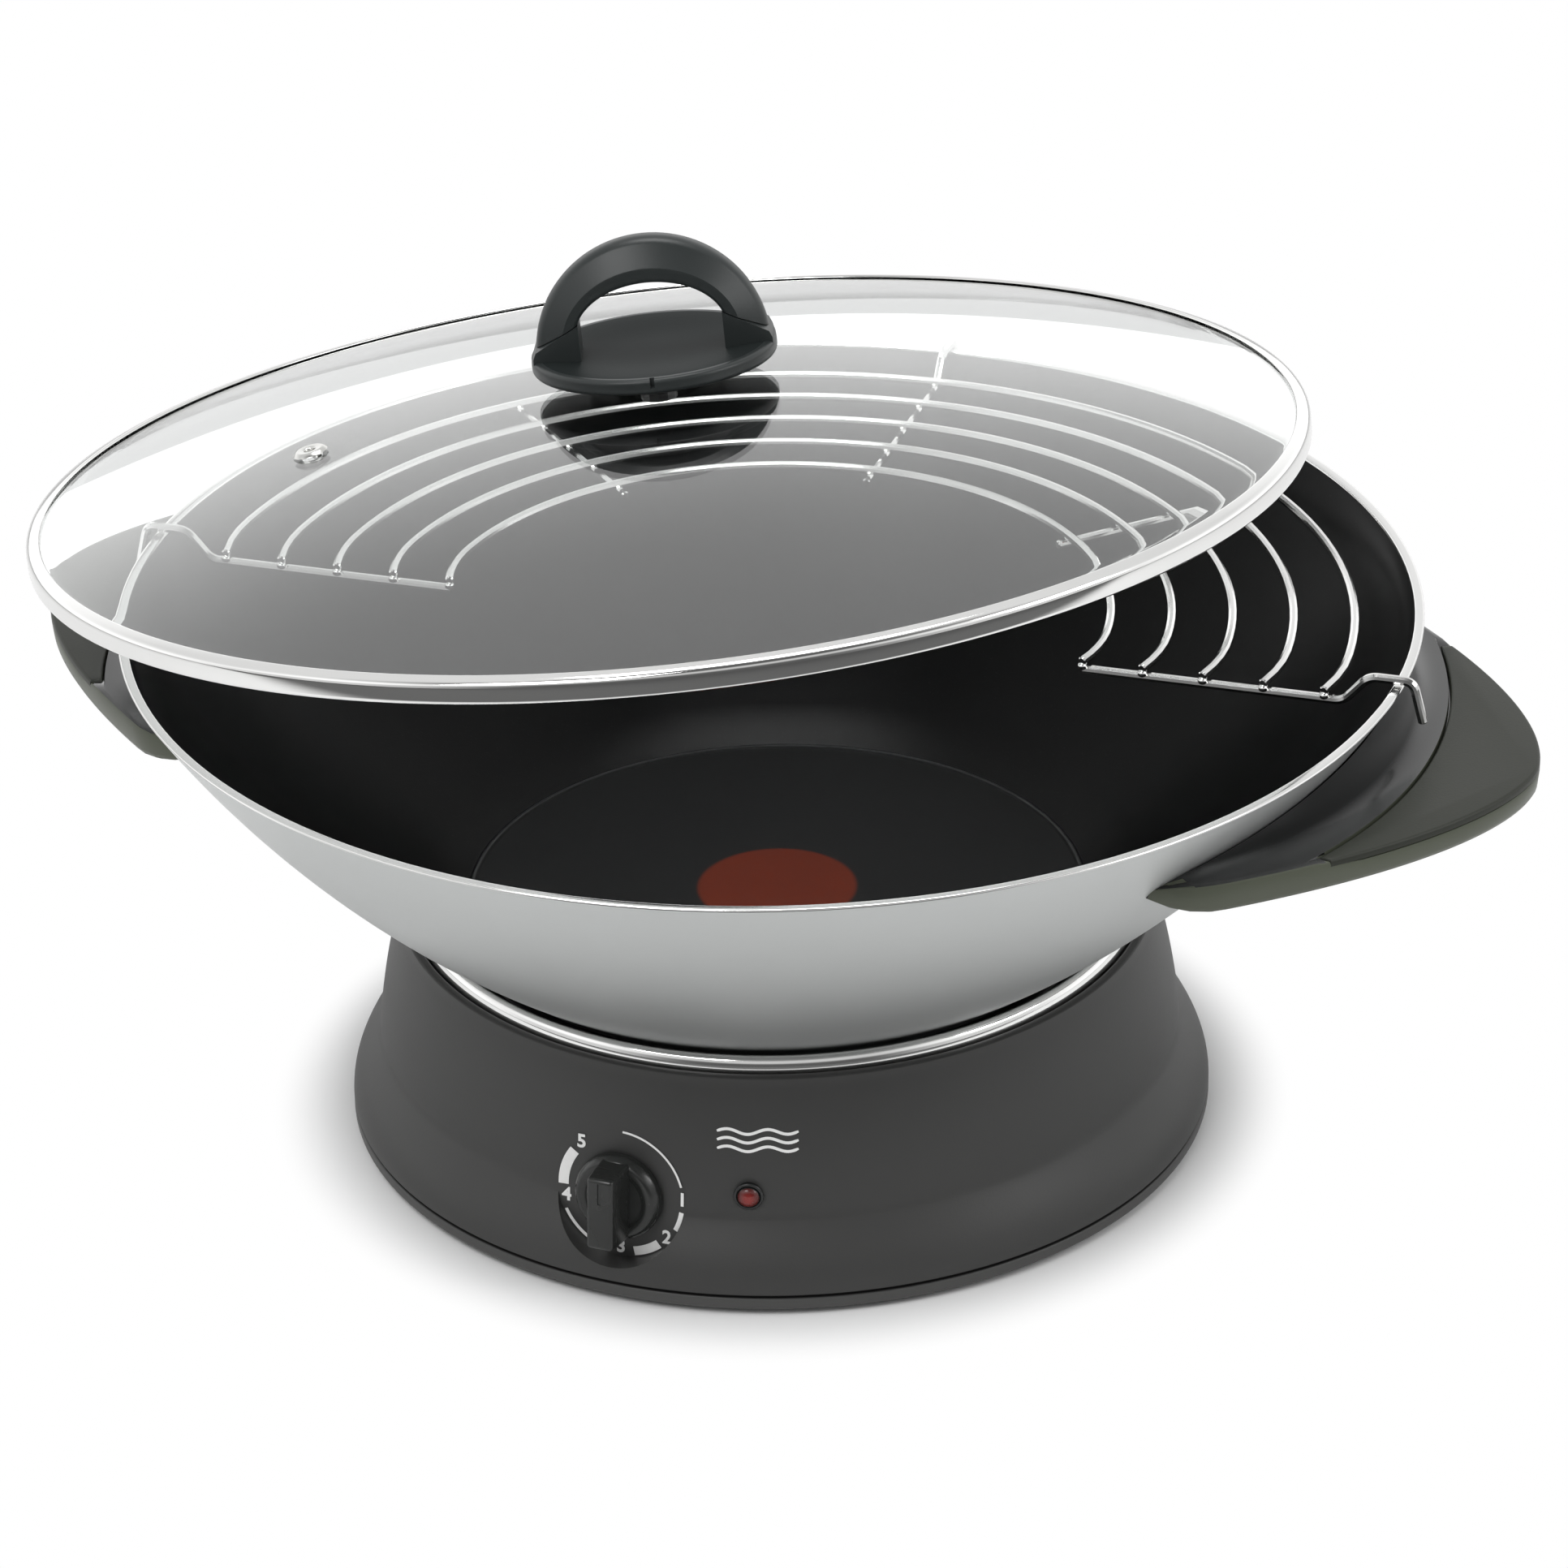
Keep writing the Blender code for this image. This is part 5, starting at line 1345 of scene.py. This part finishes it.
# ------------------------------------------------------------------ rack
class WOK_OT_rack(bpy.types.Operator):
    """Half-round wire rack hooked over the rim"""

    bl_idname = "wok.rack"
    bl_label = "Rack"

    def execute(self, context):
        self.place = Matrix.Translation((0, 0, RIM_Z)) @ Matrix.Rotation(RACK_TURN, 4, "Z")
        self.finish = bright_metal("rack wire plating", colours().bright, 0.10, 1500.0)
        wire_d = sizes().wire
        self.over = wire_d / 2 + GAP
        self.low = self.over - RACK_DROP
        self.high = self.low + wire_d + GAP
        self.arcs(wire_d)
        self.straights(wire_d)
        return {"FINISHED"}

    def settle_wire(self, kind, which, bm):
        names = f"rack_{kind}_{which}", f"rack_{kind}_wire_{which}"
        settle(names[0], moved(bm, self.place), "rack", [self.finish], [names[1]])

    def arcs(self, wire_d):
        pitch = (RACK_OUTER_R - RACK_INNER_R) / (RACK_ARCS - 1)
        for i in range(RACK_ARCS):
            radius = RACK_INNER_R + pitch * i
            past = asin((RACK_FORWARD + wire_d / 2) / radius)
            steps = 72
            points = []
            for k in range(steps + 1):
                turn = -past + (pi + 2 * past) * k / steps
                end = min(turn + past, pi + past - turn) * radius
                curl = 0.0022 * max(0.0, 1 - end / 0.020) ** 2
                reach = radius - curl
                points.append((reach * cos(turn), reach * sin(turn), self.high))
            bm = wire(smooth_path(points, 0.0), wire_d)
            for end in (points[0], points[-1]):
                add_to(bm, self.bead(Vector(end) - Vector((0, 0, (wire_d + GAP) / 2)), wire_d))
            self.settle_wire("arc", i + 1, bm)

    def bead(self, spot, wire_d):
        """A small lump of weld between two crossing wires."""
        bm = bmesh.new()
        bmesh.ops.create_uvsphere(bm, u_segments=14, v_segments=8, radius=wire_d * 0.52)
        bmesh.ops.scale(bm, vec=(1.0, 1.0, 0.85), verts=bm.verts)
        bmesh.ops.translate(bm, vec=spot, verts=bm.verts)
        return bm

    def hooked(self, start):
        foot = RACK_OUTER_R + RACK_OVERHANG
        outside = sizes().rim_radius + HOOK_OUT
        return [
            (start, self.low), (foot, self.low), (foot + HOOK_RISE_RUN, self.over),
            (outside, self.over), (outside + HOOK_SPLAY, self.over - HOOK_TAIL),
        ]

    def straights(self, wire_d):
        """The two ends of the rack and its three cross wires."""
        start = RACK_INNER_R - RACK_OVERHANG
        hooked = self.hooked(start)
        paths = {
            ("end", "right"): [(out, -RACK_FORWARD, up) for out, up in hooked],
            ("end", "left"): [(-out, -RACK_FORWARD, up) for out, up in hooked],
            ("cross", "middle"): [(0, out, up) for out, up in hooked],
        }
        reach = RACK_OUTER_R + RACK_OVERHANG
        for which, turn in (("right", radians(45)), ("left", radians(135))):
            paths["cross", which] = [(r * cos(turn), r * sin(turn), self.low) for r in (start, reach)]
        for (kind, which), path in paths.items():
            self.settle_wire(kind, which, wire(smooth_path(path, HOOK_BEND), wire_d))


# ------------------------------------------------------------------ lid
def lid_place():
    lean = Vector((-sin(LID_LOW_SIDE), cos(LID_LOW_SIDE), 0))
    return Matrix.Translation(LID_SPOT) @ Matrix.Rotation(LID_TILT, 4, lean)


def glass_height(radius, below=0.0):
    """Height of the glass's outer face above the lid's rim, or of a face that far below it."""
    edge_r = LID_R - BAND_THICK - GAP
    edge_z = BAND_THICK + GAP + sizes().glass
    rise = LID_DOME - edge_z
    sphere = (edge_r**2 + rise**2) / (2 * rise)
    return LID_DOME - sphere + sqrt((sphere - below) ** 2 - radius**2)


def vent_place():
    lean = asin(VENT_R / ((LID_R**2 + LID_DOME**2) / (2 * LID_DOME)))
    return (
        lid_place()
        @ Matrix.Rotation(VENT_TURN, 4, "Z")
        @ Matrix.Translation((VENT_R, 0, glass_height(VENT_R)))
        @ Matrix.Rotation(lean, 4, "Y")
    )


class WOK_OT_lid(bpy.types.Operator):
    """Domed glass, its polished band and the steam vent"""

    bl_idname = "wok.lid"
    bl_label = "Lid"

    def execute(self, context):
        place = lid_place()
        self.glass(place)
        self.band(place)
        self.vent()
        return {"FINISHED"}

    def glass(self, place):
        edge_r = LID_R - BAND_THICK - GAP
        hole = 0.0045
        steps = 32
        radii = [hole + (edge_r - hole) * i / steps for i in range(steps + 1)]
        outside = [(r, glass_height(r)) for r in radii[:-1]]
        inside = [(r, glass_height(r, sizes().glass)) for r in radii[:-1]]
        top_z = glass_height(edge_r)
        corners = [(edge_r, top_z, 0.0008), (edge_r, BAND_THICK + GAP, 0.0008)]
        edge = eased([outside[-1], *corners, inside[-1]])
        outline = inside[::-1] + outside + edge[1:-1]
        bm = turned(outline, sizes().turns, place)
        way = drum(0.0030, -0.01, 0.01, 32, vent_place())
        mesh = carve(bm, ("DIFFERENCE", way))
        look = Finish("lid glass")
        smears = look.noise(look.place(place), 24.0, 3.0, 0.6)
        look.set(
            base_color=(0.97, 0.985, 0.98),
            transmission_weight=1.0,
            ior=1.72,
            roughness=smears.between(0.5, 0.85) * 0.012,
        )
        settle_mesh("lid_glass_fine", mesh, "lid", [look.material], ["lid_glass"], crease=30)

    def band(self, place):
        edge_r = LID_R - BAND_THICK - GAP
        grip_r = LID_R - BAND_GRIP
        top_in = glass_height(grip_r) + GAP
        top_out = glass_height(edge_r) + GAP
        outline = eased([
            (grip_r, 0.0), (LID_R, 0.0, 0.0013), (LID_R, top_out + BAND_THICK * 0.7, 0.0016),
            (grip_r + 0.0003, top_in + BAND_THICK, 0.0004),
            (grip_r - 0.0002, top_in + 0.0002, 0.0002), (grip_r, top_in),
            (edge_r + GAP, top_out), (edge_r + GAP, BAND_THICK), (grip_r, BAND_THICK),
        ])
        finish = bright_metal("lid band polish", colours().bright, 0.05, 2600.0, place)
        settle("lid_band", turned(outline, sizes().turns, place), "lid", [finish], ["lid_rim_band"])

    def vent(self):
        inner, outer, flange = 0.0015, 0.0027, 0.0050
        outline = eased([
            (inner, -0.0050), (outer, -0.0050, 0.0003), (outer, 0.0005),
            (flange, 0.0005, 0.0003), (flange - 0.0012, 0.0016, 0.0006),
            (inner + 0.0002, 0.0014, 0.0004), (inner, 0.0010),
        ])
        finish = bright_metal("vent steel", (0.66, 0.66, 0.64), 0.14)
        settle("vent_fine", turned(outline, 48, vent_place()), "lid", [finish], ["vent_eyelet"])


class WOK_OT_lid_knob(bpy.types.Operator):
    """Lid knob: a dished disc with two shoulders and an arch between them"""

    bl_idname = "wok.lid_knob"
    bl_label = "Lid Knob"

    def execute(self, context):
        place = lid_place()
        finish = self.plastic(place)
        self.disc(finish, place, *self.arch(finish, place))
        steel = dull_metal("knob fixing steel", (0.16, 0.16, 0.16), 0.4)
        dress(steel, "knob_screw", "knob_washer")
        dress(rubber("knob gasket rubber"), "knob_gasket")
        return {"FINISHED"}

    def plastic(self, place):
        look = Finish("lid knob plastic")
        shade = colours().knob
        where = look.place(place)
        grain = look.noise(where, 1200.0, 3.0, 0.6)
        worn = look.noise(where, 40.0, 4.0, 0.6)
        _, _, z = look.split(where)
        top = z.between(LID_DOME + 0.030, LID_DOME + 0.041)
        look.set(
            base_color=look.mottled(worn, shade, 0.92, 1.12),
            roughness=0.33 + worn * 0.08 + grain * 0.04 - top * 0.05,
            specular_ior_level=0.4,
        )
        look.bump(grain, 0.3, 0.00006)
        return look.material

    def arch(self, finish, place):
        """The grip between its two slanted seams; gives what the shoulders need to meet it."""
        disc_top = LID_DOME + KNOB_TOP
        hub = disc_top - 0.001
        outer_r = LID_DOME + GRIP_TOP - hub
        seam_out = disc_top + 0.0030
        seam_in = disc_top + 0.0095
        opening_top = LID_DOME + GRIP_TOP - GRIP_THICK
        spring = seam_in - 0.004
        half_open = 0.0205
        first = asin((seam_out - hub) / outer_r)
        open_first = asin((seam_in - spring) / (opening_top - spring))
        depth = 0.0075
        front = [(0.0, 0.86), (0.03, 0.96), (0.10, 1.0), (0.33, 1.0), (0.355, 0.99), (0.375, 0.965)]
        front += [(0.86, 0.58), (0.93, 0.48), (0.98, 0.32), (1.0, 0.12)]
        section = front + [(u, -y) for u, y in reversed(front)]
        bm = bmesh.new()
        loops = []
        steps = 48
        for i in range(steps + 1):
            outward = first + (pi - 2 * first) * i / steps
            inward = open_first + (pi - 2 * open_first) * i / steps
            far = Vector((outer_r * cos(outward), hub + outer_r * sin(outward)))
            near = Vector((half_open * cos(inward), spring + (opening_top - spring) * sin(inward)))
            along = [(near.lerp(far, u), y) for u, y in section]
            loops.append(loop_through(bm, [(spot.x, y * depth, spot.y) for spot, y in along]))
        join_loops(bm, loops)
        settle("lid_knob_arch", moved(bm, place), "lid", [finish], ["knob_grip"], crease=24)
        return outer_r * cos(first), depth, half_open * cos(open_first), (seam_out, seam_in)

    def disc(self, finish, place, outer_x, depth, inner_x, seam):
        seam_out, seam_in = seam
        radius = sizes().disc_radius
        disc_top = LID_DOME + KNOB_TOP
        base_low = LID_DOME + 0.0018
        disc_low = disc_top - 0.0050
        outline = eased(
            [
                (0, base_low), (0.0185, base_low, 0.0008), (0.0215, base_low + 0.0012, 0.002),
                (radius - 0.0045, disc_low - 0.0002, 0.0015), (radius, disc_low + 0.0010, 0.0012),
                (radius, disc_top, 0.0014), (radius * 0.86, disc_top - 0.0001, 0.003),
                (radius * 0.45, disc_top - 0.0013, 0.006), (0, disc_top - 0.0015),
            ],
            6,
        )
        bm = turned(outline, 144)
        work = []
        for way in (1, -1):
            ear = [
                (way * inner_x, seam_in - GAP), (way * inner_x, disc_top - 0.0025),
                (way * (radius + 0.002), disc_top - 0.0025),
                (way * (radius + 0.002), disc_top - 0.0010), (way * (outer_x + 0.0012), disc_top),
                (way * outer_x, seam_out - GAP),
            ]
            shoulder = slab(ear, -depth, depth, "Y")
            shell = drum(radius - 0.0001, disc_top - 0.02, disc_top + 0.02, 144)
            work.append(("UNION", as_bmesh(carve(shoulder, ("INTERSECT", shell)))))
        notch = brick((0.0012, 0.004, 0.0030), (0, -radius, disc_top - 0.0010))
        bore = drum(0.0025, base_low - 0.001, disc_top - 0.0030, 32)
        mesh = carve(bm, *work, ("DIFFERENCE", notch), ("DIFFERENCE", bore))
        for face in mesh.polygons:
            x, y, z = face.center
            dished = hypot(x, y) < radius * 0.93 and z < disc_top and face.normal.z > 0.85
            face.material_index = int(dished)
        mesh.transform(place)
        dish = satin_plastic(
            "lid knob dish plastic", shaded(colours().knob, 0.8), 0.5, 1200.0, 0.00006, place, 0.05
        )
        settle_mesh("lid_knob_disc", mesh, "lid", [finish, dish], ["knob_base"], crease=32)


# ------------------------------------------------------------------ studio
class WOK_OT_studio(bpy.types.Operator):
    """Floor, lamps, world and camera"""

    bl_idname = "wok.studio"
    bl_label = "Studio"

    def execute(self, context):
        self.camera(context.scene)
        self.floor()
        self.lamps()
        self.world(context.scene)
        context.scene.view_settings.view_transform = "Standard"
        return {"FINISHED"}

    def camera(self, scene):
        yaw, pitch, roll = CAMERA_TURNS
        ahead = Vector((sin(yaw) * cos(pitch), cos(yaw) * cos(pitch), sin(pitch)))
        right = Vector((cos(yaw), -sin(yaw), 0))
        up = right.cross(ahead)
        turned_right = cos(roll) * right + sin(roll) * up
        turned_up = -sin(roll) * right + cos(roll) * up
        camera = linked("camera", bpy.data.cameras.new("camera"))
        axes = Matrix((turned_right, turned_up, -ahead)).transposed().to_4x4()
        camera.matrix_world = Matrix.Translation(CAMERA_SPOT) @ axes
        camera.data.sensor_width = 36.0
        camera.data.lens = CAMERA_LENS
        camera.data.clip_start = 0.05
        camera.data.clip_end = 50.0
        scene.camera = camera

    def floor(self):
        bm = bmesh.new()
        bmesh.ops.create_grid(bm, x_segments=8, y_segments=8, size=6.0)
        bmesh.ops.translate(bm, vec=(0, 0, -FLOOR_DROP), verts=bm.verts)
        floor = linked("floor", mesh_of("floor", bm))
        look = Finish("studio floor")
        x, y, _ = look.split(look.place())
        far = (x * x + y * y).root().between(*SHADOW_FADE)
        front = (0.0 - y).between(0.26, 0.46) * look.ray("Glossy")
        look.set(base_color=look.blend(front, (0.90, 0.90, 0.90), (0.10, 0.10, 0.10)), roughness=0.9)
        seen = look.ray("Camera") + look.ray("Transmission")
        glow = look.node("ShaderNodeEmission", {}, {0: (1.0, 1.0, 1.0), 1: 1.0})
        shade = Value(look, look.shader.outputs[0])
        look.show(look.tree.nodes["Material Output"], look.mix(far * seen, shade, glow))
        floor.data.materials.append(look.material)

    def lamps(self):
        spots = [
            ("key softbox", (-0.7, -1.1, 1.6), 0.9, 15.0),
            ("fill softbox", (1.4, -0.5, 1.0), 0.7, 6.0),
            ("top softbox", (0.0, 0.35, 1.9), 0.9, 12.0),
        ]
        for name, place, size, power in spots:
            lamp = bpy.data.lights.new(name, "AREA")
            lamp.shape = "SQUARE"
            lamp.size = size
            lamp.energy = power
            stand = linked(name, lamp)
            stand.location = place
            aim = LAMP_AIM - Vector(place)
            stand.rotation_mode = "QUATERNION"
            stand.rotation_quaternion = aim.to_track_quat("-Z", "Y")

    def world(self, scene):
        """Plain light on everything, white walls behind, and a darker room in front for mirrors."""
        world = bpy.data.worlds.new("studio")
        scene.world = world
        world.use_nodes = True
        room = Nodes(world.node_tree)
        room.tree.nodes.clear()
        x, y, z = room.split(room.node("ShaderNodeTexCoord", out="Generated"))
        behind = y.between(-0.35, 0.25)
        wall = 1.30 - z.between(0.15, 0.55) * 0.45
        strip = z.between(0.18, 0.42) * (1.0 - z.between(0.55, 0.78))
        ahead = 0.12 + (x * x).between(0.12, 0.70) * 0.62 + strip * 0.55
        mirrored = ahead + behind * (wall - ahead)
        glossy = room.ray("Glossy")
        level = ROOM_LEVEL + glossy * (mirrored - ROOM_LEVEL)
        light = room.node("ShaderNodeBackground", {}, {0: (1.0, 1.0, 1.0), 1: level})
        plain = room.node("ShaderNodeBackground", {}, {0: (1.0, 1.0, 1.0), 1: 1.0})
        seen = room.ray("Camera") + room.ray("Transmission") * (1.0 - glossy)
        room.show(room.tree.nodes.new("ShaderNodeOutputWorld"), room.mix(seen, light, plain))


# ------------------------------------------------------------------ panel and registration
STEPS = (
    WOK_OT_studio,
    WOK_OT_base_shell,
    WOK_OT_trim_ring,
    WOK_OT_underside,
    WOK_OT_heater,
    WOK_OT_dial,
    WOK_OT_mark,
    WOK_OT_pilot_lens,
    WOK_OT_inlet,
    WOK_OT_bowl,
    WOK_OT_handles,
    WOK_OT_rack,
    WOK_OT_lid,
    WOK_OT_lid_knob,
)


class WOK_PT_panel(bpy.types.Panel):
    """Sizes, colours and the pieces of the wok"""

    bl_idname = "WOK_PT_panel"
    bl_label = "Electric Wok"
    bl_space_type = "VIEW_3D"
    bl_region_type = "UI"
    bl_category = "Wok"

    def draw(self, context):
        for title, group in (("Sizes", sizes()), ("Colours", colours())):
            box = self.layout.box()
            box.label(text=title)
            for key in group.bl_rna.properties.keys():
                if key not in ("rna_type", "name"):
                    box.prop(group, key)
        for step in STEPS:
            self.layout.operator(step.bl_idname)


def register():
    for cls in (WokSizes, WokColours, *STEPS, WOK_PT_panel):
        bpy.utils.register_class(cls)
    bpy.types.Scene.wok_sizes = bpy.props.PointerProperty(type=WokSizes)
    bpy.types.Scene.wok_colours = bpy.props.PointerProperty(type=WokColours)


def unregister():
    del bpy.types.Scene.wok_colours
    del bpy.types.Scene.wok_sizes
    for cls in (WOK_PT_panel, *reversed(STEPS), WokColours, WokSizes):
        bpy.utils.unregister_class(cls)


def main():
    register()
    for step in STEPS:
        group, name = step.bl_idname.split(".")
        getattr(getattr(bpy.ops, group), name)()
    bpy.context.view_layer.update()


if __name__ == "__main__":
    main()
